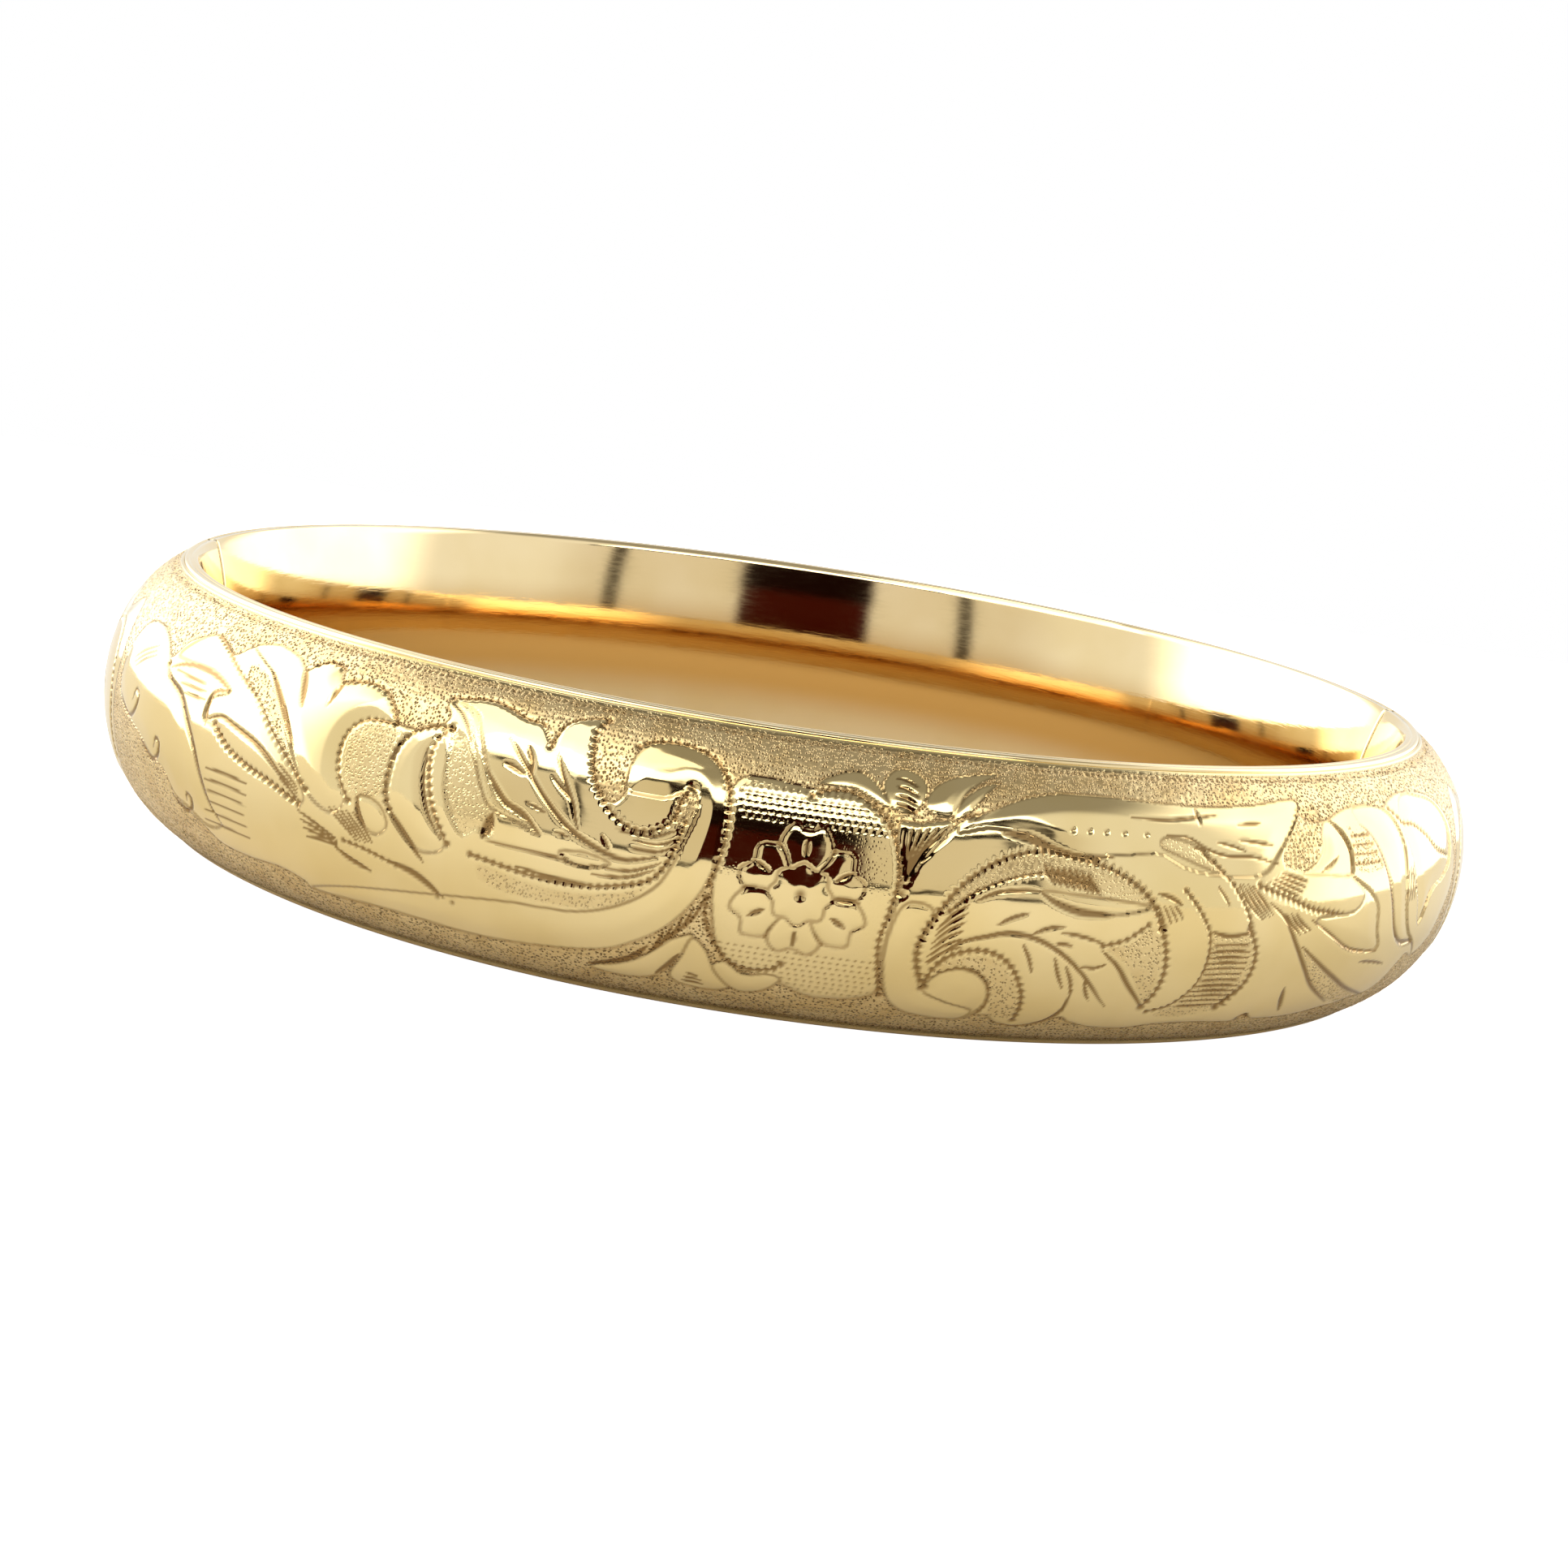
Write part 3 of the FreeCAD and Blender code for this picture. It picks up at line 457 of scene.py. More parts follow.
def engrave_crescent(relief):
    """The tapered leaves, the crescent and the hooked scroll at the left."""
    relief.leaf([
        (-31.9, 3.5), (-31.2, 4.4), (-30.2, 5), (-29.2, 4.85), (-27.8, 4.2), (-26.4, 3.6), (-25, 3),
        (-23.6, 1.9), (-22, 0.7), (-21.2, -0.3), (-21.8, -0.6), (-23, -0.2), (-24.6, 0.1),
        (-26.2, 0.7), (-27.4, 1.3), (-28.2, 1.5), (-28, 2.4), (-27, 2.95), (-28.6, 3.5), (-30.4, 3.5)
    ])
    relief.beads([
        (-29.8, 5), (-28.6, 4.6), (-27.4, 4.05), (-26, 3.45), (-25, 3), (-23.8, 2.1), (-22.6, 1.2),
        (-21.2, 0.1)],
        width=0.36)
    relief.beads([(-27.3, 1.4), (-26.2, 0.7), (-25, 0.3), (-23.4, -0.05), (-21.5, -0.6)], width=0.42)
    relief.stroke([
        (-28, 1.45), (-27, 1.8), (-26, 1.65), (-24.2, 1.2), (-22.9, 0.5), (-21.7, -0.4)], 0.28, 0.08)
    relief.fan(
        [(-22.9, 0.8), (-22.2, 0.4), (-21.6, 0)], [(-22.7, 0.2), (-22, -0.15), (-21.5, -0.45)],
        3, 0.13)
    relief.leaf([
        (-37.7, 1.6), (-37.4, 3.4), (-36.4, 4.2), (-35, 4.25), (-33.6, 3.85), (-32.5, 3.1),
        (-32.1, 2.5), (-30.8, 2.1), (-29.7, 1.3), (-28.6, 0.1), (-28, -1), (-27.4, -2), (-26.6, -2.9),
        (-27.8, -3.3), (-29.2, -2.8), (-30.3, -2.5), (-31.2, -1.6), (-32.6, -1.2), (-33.6, -0.7),
        (-35, -0.3), (-36.2, 0), (-37.2, 0.6)])
    relief.stroke([(-32, 2.9), (-31, 3.25), (-29.6, 3.42), (-28.2, 3.3), (-27, 2.95)], 0.3, 0.08)
    relief.stroke([(-27, 2.95), (-27.9, 2.7), (-28.15, 2), (-27.9, 1.2)], 0.24, 0.07)
    relief.stroke([
        (-32.6, 3), (-31.6, 2.4), (-30.4, 2), (-29.5, 1.2), (-28.6, 0.2), (-27.9, -1), (-27.2, -2.2),
        (-26.4, -3)],
        0.42, 0.09)
    relief.fan(
        [(-31.4, 2.9), (-30, 2.85), (-28.5, 2.85)], [(-30.2, 2.1), (-29.4, 2.15), (-28.4, 2.2)],
        3, 0.13)
    relief.dot(-32.4, 2.95, 0.26, 0.1)
    relief.fan([(-36.4, 2.3), (-35.4, 2.9), (-34.2, 3.4)], [(-35.9, 2), (-34.9, 2.6), (-33.9, 3)], 3, 0.16)
    for y in np.arange(-3, -0.3, 0.5):
        relief.stroke([(-27.3 + 0.2 * y, y), (-26, y + 0.05), (-24.6, y)], 0.13, 0.04)
    for x, y, size in ((-34.7, 0.1, 1.1), (-31.8, -1.2, 0.9), (-29, -2.9, 0.8)):
        relief.stroke([
            (x - 2 * size, y + 0.4 * size), (x - 1.3 * size, y), (x - 0.6 * size, y - 0.2 * size),
            (x + 0.1 * size, y + 0.2 * size), (x + 0.3 * size, y + 0.8 * size), (x - 0.1 * size, y + size),
            (x - 0.3 * size, y + 0.5 * size)], 0.26, 0.08)


def engrave_lower_sprig(relief):
    """The three lobes under the C-scroll, with their hatching."""
    relief.leaf([
        (-7.8, -4.9), (-6.6, -5.15), (-5.4, -4.95), (-4.7, -4.4), (-4.1, -3.5), (-3.6, -2.3),
        (-4.4, -2.6), (-5.2, -3.4), (-6.2, -4.2)])
    relief.leaf([
        (-4.4, -4.4), (-4.1, -4.9), (-3, -5.1), (-2.2, -4.95), (-1.9, -4.6), (-2.5, -4), (-3, -2.9),
        (-3.6, -2.4), (-4, -3.4)])
    relief.leaf([
        (-2.7, -3.6), (-2.2, -4.4), (-1.6, -4.85), (-0.9, -4.8), (-0.3, -4.4), (0.1, -3.8),
        (-0.4, -3.6), (-1.4, -3.8), (-2.2, -3.3)])
    relief.stroke([(-7.9, -4.8), (-6.8, -4.4), (-6, -3.9), (-5.4, -3.2)], 0.4, 0.07)
    relief.stroke([(-5, -4.6), (-4.5, -4), (-4.1, -3.3)], 0.34, 0.07)
    relief.fan([(-3.7, -4.2), (-3.2, -4.3)], [(-3.9, -4.7), (-3, -4.75)], 3, 0.18)


def engrave_sprig(relief):
    """The three lobes over the rosette's right shoulder, and the ridges that fan out below them."""
    relief.leaf([
        (0.5, 4.65), (1.3, 5.2), (2.1, 5.4), (2.7, 5.15), (3.1, 4.7), (3.5, 4), (2.9, 4.2), (1.9, 4.65)])
    relief.leaf([
        (3.15, 5.1), (3.6, 5.7), (4.2, 5.8), (4.8, 5.5), (5, 5), (4.8, 4.3), (4.3, 3.9), (3.6, 4),
        (3.2, 4.6)],
        swell=0.06)
    for y in (5.2, 4.8, 4.4, 4.05):
        relief.stroke([(3.7, y + 0.1), (4.1, y + 0.05), (4.6, y - 0.2)], 0.22, 0.09)
    relief.leaf([
        (4.9, 4.3), (5.2, 5), (5.8, 5.5), (6.6, 5.8), (8.1, 6.05), (7.3, 5.5), (6.6, 4.9), (6.1, 4),
        (5.4, 3.9)])
    relief.leaf([
        (6.1, 3.8), (6.5, 4.7), (7.3, 5.35), (8.1, 5.6), (7.5, 5), (6.9, 4.3)], swell=0.06)
    relief.leaf([
        (3.9, 3.4), (4.6, 3.5), (6.1, 3.7), (5.4, 2.5), (4.9, 1.9), (4.4, 0.9), (4.1, 1.8)], swell=0.02)
    relief.fan([(4.1, 3.3), (4.15, 2.2), (4.25, 1.3)], [(5.9, 3.5), (5, 2.4), (4.4, 1.2)], 6, 0.17, 0.09)
    relief.fan([(6.5, 3.9), (6.9, 4.2)], [(7, 3.9), (7.3, 4.2)], 3, 0.12)


def engrave_right_field(relief):
    """The large polished shape that carries the right side."""
    relief.leaf([
        (4.1, 0.6), (4.5, 1.5), (5.1, 2.3), (5.8, 3), (6.3, 3.7), (7.4, 4.2), (8.6, 4.8), (9.6, 5.15),
        (11, 5.4), (13, 5.4), (15.5, 5.25), (18, 5.15), (20.5, 5.25), (23.3, 5.5), (23.3, 4.9),
        (23.9, 4.5), (25, 4.5), (26, 4.8), (27, 5), (28.4, 5.05), (29.8, 4.8), (30.6, 5.1), (32, 5.35),
        (34, 5.2), (36, 4.6), (37.3, 3.4), (37.7, 2), (37.5, 0.5), (36.6, -0.6), (35.6, -2),
        (34, -2.6), (32.8, -2.4), (31.4, -4), (29.6, -4.4), (27.4, -4.6), (25, -4.9), (22.6, -4.8),
        (22, -4.4), (21.4, -4.9), (19, -4.8), (17, -4.9), (15.6, -5.2), (14, -5.15), (12.8, -4.8),
        (12.2, -4.5), (11.4, -5.1), (10.4, -5.35), (9.5, -5.1), (8.8, -4.6), (7.8, -5.1), (6.6, -5.15),
        (5.4, -4.9), (4.6, -4.2), (4.1, -3), (3.9, -1.5)], edge=0.14, swell=0.02)


def engrave_volute(relief):
    """The volute right of the rosette, and the toothed arch that springs from it."""
    relief.pocket([
        (6, -2.9), (6.4, -2), (7.4, -1.6), (8.4, -1.6), (9.3, -2.2), (9.9, -3.2), (10.1, -4.6),
        (9, -4.6), (8.6, -3.2), (7.4, -2.2), (6.6, -2.3)], 0.6)
    turns = np.linspace(0, 2 * math.pi, 13)[:-1]
    relief.leaf([
        (7.25 + 1.42 * math.cos(turn), -3.65 + 1.38 * math.sin(turn)) for turn in turns],
        swell=0.07)
    relief.leaf([
        (5.2, -1.6), (5.7, -3.2), (6, -3.6), (7, -4), (8.2, -4.4), (7.8, -5.05), (6.6, -5.1),
        (5.4, -4.85), (4.6, -4.2), (4.15, -3), (4, -1.5), (4.3, 0), (4.9, 0.4), (5.7, 0)
    ])
    relief.beads([
        (5.85, -3.4), (6, -2.5), (6.5, -1.8), (7.4, -1.4), (8.3, -1.4), (9.2, -1.9), (9.9, -2.9),
        (10.2, -3.9), (10.2, -4.8)], width=0.44)
    relief.beads([(6.4, -2.5), (7.1, -2.2), (8, -2.4), (8.6, -3.1), (8.7, -4), (8.4, -4.7)], width=0.22)
    relief.stroke([(9.6, -5.15), (10.5, -5.3), (11.5, -4.9), (12.1, -4.1), (12.2, -2.9)], 0.28, 0.08)
    relief.pocket([
        (6.1, 0.2), (6.7, 1.2), (7.8, 2.1), (9.2, 2.7), (10.8, 2.7), (12.6, 2.3), (14, 1.7), (14.8, 1),
        (13, 1.2), (11.4, 1.4), (9.8, 1.9), (8.2, 1.5), (7, 0.8)], 0.45, 0.06)
    relief.beads([
        (5.9, -3.3), (5.45, -2.4), (5.3, -1.4), (5.6, -0.4), (6.1, 0.5), (6.9, 1.5), (8, 2.3),
        (9.2, 2.75), (10.4, 2.85), (11.8, 2.6), (13, 2.3), (14.2, 1.7), (15, 1), (15.6, 0)
    ], width=0.5, depth=0.11)
    relief.beads([(6.3, 0.2), (7.2, 1), (8.4, 1.6), (9.6, 1.95), (10.6, 2), (11.8, 1.7)], width=0.3)
    relief.stroke([(7.3, 0.7), (8, 1.05), (9, 1.25), (10, 1.3)], 0.24, 0.08)
    relief.leaf([
        (10, 1.3), (11.4, 1.25), (13, 1.15), (14.9, 0.9), (13.6, 0.55), (12.2, 0.55), (11, 0.8)],
        swell=0.08)
    relief.stroke([(10, 1.2), (10.7, 0.85), (11.8, 0.55), (13.2, 0.5)], 0.4, 0.12)
    relief.stroke([(8.2, 3.45), (9.2, 3.3), (10, 3.05), (11, 2.9), (12.4, 2.6)], 0.36, 0.12)
    relief.fan(
        [(10, 2.4), (10.2, 2), (10.5, 1.6)], [(11.9, 2.2), (12.1, 1.8), (12.5, 1.3)], 8, 0.28, 0.1)
    relief.dot(4.25, 0.65, 0.3, 0.1)
    relief.pocket([
        (13.1, -0.9), (14.2, -0.6), (15, 0.1), (15.6, -0.3), (15.9, -1.4), (16, -2.6), (15.8, -3.5),
        (15, -2.6), (14.2, -1.6)], 0.6)
    relief.beads([(13, -0.8), (14, -0.5), (14.9, 0.15)], width=0.3)
    relief.beads([(15.6, 0), (16, -1), (16.2, -2), (16.1, -3), (15.8, -3.7)], width=0.5)
    relief.stroke([(13, -1), (13.9, -1.7), (14.7, -2.6), (15.9, -3.8)], 0.26, 0.09)


def engrave_spray(relief):
    """The veined spray under the arch."""
    relief.stroke([
        (5.8, -2.1), (6.9, -1.1), (8, -0.7), (8.9, -0.5), (10, -0.65), (11.2, -1.2), (12.4, -2.1),
        (14, -3.7)],
        0.24, 0.08)
    relief.fan([(5.9, -0.6), (6.5, 0.1), (7, 0.5)], [(5.7, -2.1), (6.3, -1.6), (7, -1.25)], 6, 0.16, 0.08)
    for twig in (
        [(8.3, -0.2), (8.9, 0.15), (9.6, 0.4)], [(9.8, -0.5), (10.4, -0.2), (11.2, -0.05)],
        [(11, -0.3), (12, -0.45), (13, -0.7)], [(10.9, -0.8), (11.3, -0.82), (11.7, -0.9)],
        [(9.5, -0.9), (9.9, -1.5), (10.2, -2.2)], [(11, -1.4), (11.3, -2.1), (11.7, -2.8)],
        [(11.6, -1.8), (12, -2.5), (12.2, -3.2)], [(12.6, -2.4), (12.8, -2.9), (13.1, -3.4)],
        [(12.2, -1.75), (12.9, -1.8), (13.3, -1.6)],
    ):
        relief.stroke(twig, 0.18, 0.08)


def engrave_blade(relief):
    """The long blade along the upper right, with five dots and a twisted knot."""
    relief.leaf([
        (6.3, 3.3), (6.6, 3.9), (7.6, 4.3), (8.6, 4.8), (9.6, 5.15), (11, 5.4), (13, 5.4),
        (15.5, 5.25), (18, 5.15), (20.5, 5.25), (23.3, 5.5), (23.1, 4.7), (22.2, 3.8), (21.6, 3.2),
        (20.6, 2.3), (18.7, 2.2), (17.2, 2.35), (16.2, 2.6), (15.2, 3.05), (13.6, 2.95), (11.6, 2.85),
        (10.4, 3.1), (9.2, 3.5), (7.6, 3.6)], swell=0.07, edge=0.22)
    relief.stroke([(8, 3.55), (9.2, 3.5), (10.4, 3.05), (11.6, 2.8), (13, 2.8)], 0.3, 0.1)
    relief.leaf([
        (15.3, 3.6), (15.7, 3.75), (16.6, 3.6), (17.4, 3.2), (18.3, 2.35), (17.3, 2.6), (16.2, 3),
        (15.4, 3.3)],
        matt=0.3, edge=0.16, swell=0.06)
    relief.stroke([(16.9, 3.35), (17.3, 3.3), (17.7, 2.8)], 0.2, 0.09)
    relief.stroke([
        (15.6, 3.85), (16.7, 3.75), (17.6, 3.3), (18.6, 3.05), (20, 3), (21.4, 2.7)], 0.18, 0.07)
    for line in (
        [(17.3, 5), (17.35, 4.7), (17.4, 4.3)], [(19.3, 4.3), (20, 4.37), (20.7, 4.4)],
        [(18.1, 3.6), (18.9, 3.45), (19.6, 3.25)], [(19.3, 3.7), (20.2, 3.6), (21.3, 3.45)],
        [(14, 4.5), (16, 4.5), (18.4, 4.8)],
    ):
        relief.stroke(line, 0.17, 0.06)
    for x in (11.2, 11.95, 12.7, 13.55, 14.6):
        relief.dot(x, 3.8, 0.17, 0.08)
    relief.beads([(17.9, 2.8), (18.7, 2.1), (19.4, 1.3), (19.9, 0.6), (20.2, -0.1)], width=0.3)


def engrave_column(relief):
    """The hatched column and the sharp cuts round it."""
    relief.pocket([
        (18.2, -0.2), (19.2, -0.35), (20.1, -0.2), (20.6, -1.2), (20.6, -2.4), (20, -3.8), (18, -4.4),
        (16.6, -4.2), (17.6, -3.2), (18.1, -2)], 0.4)
    for y in np.arange(-3.7, -0.5, 0.27):
        relief.stroke([(18.2 + 0.5 * min(0, y + 2.2), y), (19.3, y + 0.04), (20.4, y)], 0.15, 0.05)
    relief.beads([
        (16.5, 1.6), (17.3, 0.8), (18, -0.2), (18.2, -1.4), (18, -2.6), (17.2, -3.6), (16.2, -4)],
        width=0.3)
    relief.beads([
        (20.1, 0), (20.6, -0.8), (20.8, -1.7), (20.6, -2.7), (19.8, -3.8)], width=0.5, depth=0.08)
    relief.stroke([(18.1, -0.1), (19, -0.3), (20.1, -0.2)], 0.26, 0.07)
    relief.stroke([(15.2, 1.45), (15.8, 1.3), (16.4, 1)], 0.24, 0.11)
    relief.fan([(15.2, 1), (15.5, 0.5), (15.7, 0.1)], [(16, 1), (16.3, 0.7), (16.5, 0.4)], 4, 0.12)
    relief.stroke([(18.1, 1.8), (18.4, 1.5), (18.8, 1)], 0.15)
    relief.fan(
        [(19.2, 1.9), (19.9, 1), (20.7, 0.4)], [(19.9, 1.85), (20.5, 1.3), (21.2, 0.6)], 4, 0.17, 0.1)
    relief.fan(
        [(20.9, 1.95), (21.8, 1.6), (22.7, 1.3)], [(21.6, 2.3), (22.4, 2.1), (23.2, 1.9)],
        4, 0.17, 0.1)
    relief.fan(
        [(22, 0.6), (22.5, 0.1), (23.1, -0.35)], [(22.6, 0.6), (23.1, 0.15), (23.7, -0.2)],
        3, 0.17, 0.1)
    relief.stroke([(23.3, -2.9), (23.6, -3.6), (24, -4.3)], 0.32, 0.08)
    relief.stroke([(21.5, -4.7), (21.9, -4.5), (22.4, -4.7)], 0.3, 0.09)


def engrave_right_leaves(relief):
    """The cross-hatched ground at the upper right and the leaves beyond it."""
    relief.pocket([
        (21.7, 3), (22.4, 4), (23.3, 4.9), (24.2, 5.4), (24.8, 4.7), (24.4, 3.6), (23.9, 2.8),
        (23, 2.3), (22, 2.5)], 0.7, 0.05)
    for y in np.arange(2.6, 5.2, 0.27):
        for x in np.arange(21.9 + 0.8 * max(0, y - 3.4), 24.1 + 0.2 * (y - 3), 0.28):
            relief.dot(x, y, 0.11, 0.05)
    relief.leaf([
        (25, 4.5), (24.5, 4), (24.3, 3.2), (23.7, 2.6), (22.9, 2.25), (24.4, 2.15), (26.2, 2.1),
        (26.3, 3.1), (25.9, 3.9)], swell=0.06)
    relief.stroke([(25.2, 4.4), (25.9, 3.8), (26.3, 3), (26.2, 2.1)], 0.2, 0.07)
    relief.stroke([(24.2, 2.3), (24.7, 2.5), (25.3, 2.9)], 0.15)
    relief.pocket([
        (26.5, 2.3), (26.6, 3.4), (26.2, 4.2), (27.4, 4), (28.2, 3.1), (28.8, 2.2), (27.6, 2)], 0.5)
    for y in (2.5, 2.9, 3.3, 3.7):
        relief.beads([(26.5, y), (28.6 - 0.6 * (y - 2.3), y)], width=0.2, depth=0.05)
    relief.leaf([
        (27.3, 4.3), (27.2, 4.9), (28.4, 5), (29.6, 4.8), (30.4, 4.2), (30.9, 3), (31, 1.4), (31.3, 0),
        (32, -1), (33, -1.7), (31.8, -1.7), (30.8, -1.2), (30.2, -0.4), (29.8, 0.6), (29.3, 1.7),
        (28.8, 2.7), (28.1, 3.7)],
        swell=0.06)
    relief.stroke([
        (27.3, 4.2), (28.1, 3.6), (28.7, 2.7), (29.3, 1.6), (29.8, 0.4), (30.4, -0.7), (31.4, -1.45),
        (33, -1.7), (34, -2.6)], 0.32, 0.09)
    relief.leaf([
        (31, 4.2), (32.2, 5.2), (34, 5), (35.8, 4.4), (37, 3), (36.6, 1.6), (35.4, 1), (34, 0.6),
        (33, -0.8), (32.2, 0.6), (31.6, 2.4)], swell=0.06)
    relief.fan([(31.1, 2), (31.15, 1.2), (31.1, 0.5)], [(31.8, 1.9), (31.9, 1.2), (31.8, 0.5)], 4, 0.13)
    relief.beads([(30.3, 4.7), (31.2, 4), (32.2, 3.8), (33.4, 3.2), (34.6, 2.4), (36.2, 1.9)], width=0.3)
    relief.beads([(20.4, 1.8), (22, 1.3), (23.6, 0.75), (25, 0.5), (26.6, 0.15), (28.6, -0.5)], width=0.46)
    relief.leaf([
        (26.2, 2), (27.6, 1.3), (28.4, 0.6), (28.7, -0.5), (29.2, -1.5), (27.4, -1.4), (25.8, -0.8),
        (24, 0.2), (25.2, 0.4), (26.6, 0.5), (27.2, 1.2)])
    relief.stroke([(23.6, 0.3), (25, -0.4), (26.6, -1.2), (28, -1.5), (29.2, -1.6)], 0.22, 0.07)
    relief.pocket([
        (23.5, -1), (25, -1.9), (26.6, -2.8), (28.4, -3.6), (30.4, -4.3), (28.4, -4.4), (26.6, -3.8),
        (25, -2.9), (24.1, -1.9)], 0.6)
    relief.stroke([(21, 1.1), (22, 0.4), (23, -0.8), (24, -1.9), (25.2, -3), (27.3, -4.2)], 0.28, 0.08)
    relief.stroke([(23.4, -0.9), (25, -1.85), (26.6, -2.7), (28.3, -3.5), (31, -4.4)], 0.28, 0.08)
    relief.stroke([(28, -2), (29.4, -2.2), (30.6, -2.45)], 0.18)


def engrave_side(relief, side):
    """A scroll that carries the pattern round to the end of the half."""

    def place(*points):
        return [(side * x, y) for x, y in points]

    relief.leaf(place(
        (38.6, -3.2), (38.4, -0.4), (38.8, 2.6), (40.4, 4.6), (42.6, 3.8), (44.2, 4.8), (46.4, 3.9),
        (47.8, 2.2), (48.8, 0), (48, -2.4), (46.4, -3.2), (45, -4.6), (42.8, -3.9), (40.8, -4.7)),
        swell=0.06, edge=0.14)
    relief.beads(place(
        (38.9, -2.8), (39.1, 0.4), (40.6, 2.8), (43, 3), (44.8, 1.6), (44.6, -0.4), (43, -1.2), (42, -0.2),
        (42.8, 0.6)), width=0.4)
    relief.fan(
        place((45.4, 2.6), (46.6, 1.2), (47.4, -0.6)), place((44, -1.8), (45.2, -2.2), (46.2, -2.4)), 6)
    relief.stroke(place((39.8, -3.6), (41.6, -2.6), (43.6, -2.8), (45, -3.6)), 0.26, 0.06)


def engrave_borders(relief):
    """A row of ticks inside each rim, a clean edge beyond it, and the grain of the matted ground."""
    x, y = np.meshgrid(relief.along, relief.across)
    reach = np.abs(y)
    edge = smooth((reach - CLEAN_EDGE) / 0.08)
    relief.height += edge * (-0.01 - relief.height)
    relief.ground *= 1 - edge
    relief.height -= 0.03 * smooth(1 - np.abs(reach - CLEAN_EDGE) / 0.08)
    ticks = smooth(1 - np.abs(reach - TICK_ROW) / 0.15) * (0.5 + 0.5 * np.cos(2 * np.pi * x / 0.3))
    relief.height -= 0.05 * ticks
    # Painted shade: the ticks are darkened through the cut mask.
    relief.cut = np.maximum(relief.cut, 0.9 * ticks)
    relief.height += relief.ground * random.normal(0, 0.007, x.shape)
    rows = np.cos(2 * np.pi * y / 0.26) * (0.6 + 0.4 * np.cos(2 * np.pi * x / 0.31))
    fringe = np.cos(2 * np.pi * (x + 0.2 * y) / 0.24)
    low = smooth((-4.4 - y) / 0.3)
    relief.height += 0.009 * relief.ground * (rows * (1 - low) + 1.6 * fringe * low)


def engraving(along, across):
    """The whole relief; shapes drawn later lie over the earlier ones."""
    relief = Relief(along, across)
    for engrave in (
        engrave_left_field, engrave_scroll, engrave_veined_leaf, engrave_ribbon, engrave_fan,
        engrave_crescent, engrave_right_field, engrave_volute, engrave_spray, engrave_blade, engrave_column,
        engrave_right_leaves, engrave_flower, engrave_sprig, engrave_lower_sprig, engrave_frames,
    ):
        engrave(relief)
    engrave_side(relief, -1)
    engrave_side(relief, 1)
    engrave_borders(relief)
    return relief


# Meshes ---------------------------------------------------------------------------------------------


def make_object(name, points, faces, body, node, material):
    """A piece that rides on a body and stands in for its CAD node."""
    points = np.asarray(points)
    if not np.isfinite(points).all():
        raise ValueError(f"{name} has a point that is not a number")
    mesh = bpy.data.meshes.new(name)
    mesh.from_pydata((points * MM).tolist(), [], faces)
    mesh.validate()
    mesh.shade_smooth()
    piece = bpy.data.objects.new(name, mesh)
    bpy.context.scene.collection.objects.link(piece)
    mesh.materials.append(material)
    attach(piece, body)
    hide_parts(node)
    return piece


def seam_depths(z, offset, front):
    """Depth y at which each row of a shell ends, at the hinge end and at the clasp end."""
    seam = FRONT_SEAM if front else REAR_SEAM
    side = -1 if front else 1
    away = np.abs(oval(angle_at(HINGE.y, offset), offset)[0]) + HINGE.x
    bite = np.sqrt(np.clip(NOTCH_RADIUS**2 - away**2, 0, None))
    notched = (np.abs(z) < HINGE_NOTCH) & (bite > 0.06)
    hinge_end = np.where(notched, HINGE.y + side * bite, seam)
    thumb = front & (np.abs(z) < THUMB_NOTCH)
    return hinge_end, np.where(thumb, THUMB_NOTCH_END, seam)


def shell_points(along, z, offset, front, slope=0.0, lift=0.0):
    """The grid of one surface of a shell, its ends drawn in to the seam and round the notches."""
    hinge_end, clasp_end = seam_depths(z, offset, front)
    sign = 1 if front else -1
    stop = {1: sign * angle_at(clasp_end, offset), -1: sign * angle_at(hinge_end, offset)}
    turn = np.repeat(turn_at(along)[None, :], len(z), 0)
    last = turn_at(np.array([along[-1]]))[0]
    start = turn_at(np.array([along[-1] - END_STRETCH]))[0]
    for side in (1, -1):
        goal = (math.pi / 2 + stop[side])[:, None]
        share = (turn * side - start) / (last - start)
        turn = np.where(share > 0, side * (start + share * (goal - start)), turn)
    angle = turn - math.pi / 2 if front else math.pi / 2 - turn
    slope = (slope + 0 * z)[:, None]
    lean = 1 / np.sqrt(1 + slope**2)
    x, y = oval(angle, offset[:, None] + lift * lean)
    return np.stack([x, y, z[:, None] - lift * slope * lean + 0 * x], -1)


def coarse(count, step, extra=()):
    """Every step-th index, the last one and the extra ones."""
    return sorted({*range(0, count, step), count - 1, *extra})


def rows_over_dome(cell):
    """Heights of the rows, with a close pair of rows at each edge of a notch."""
    across = np.linspace(-OVER[-1], OVER[-1], round(2 * OVER[-1] / cell) + 1)
    steps = []
    for edge in (HINGE_NOTCH, THUMB_NOTCH):
        middle = np.interp(edge, CLIMB, OVER)
        steps += [middle - 0.004, middle + 0.004]
    steps = np.array(steps)
    across = np.array([row for row in across if np.abs(np.abs(row) - steps).min() > 0.02])
    across = np.sort(np.concatenate([across, steps, -steps]))
    pairs = [int(np.argmin(np.abs(across - row))) for row in (*steps, *-steps)]
    return across, pairs


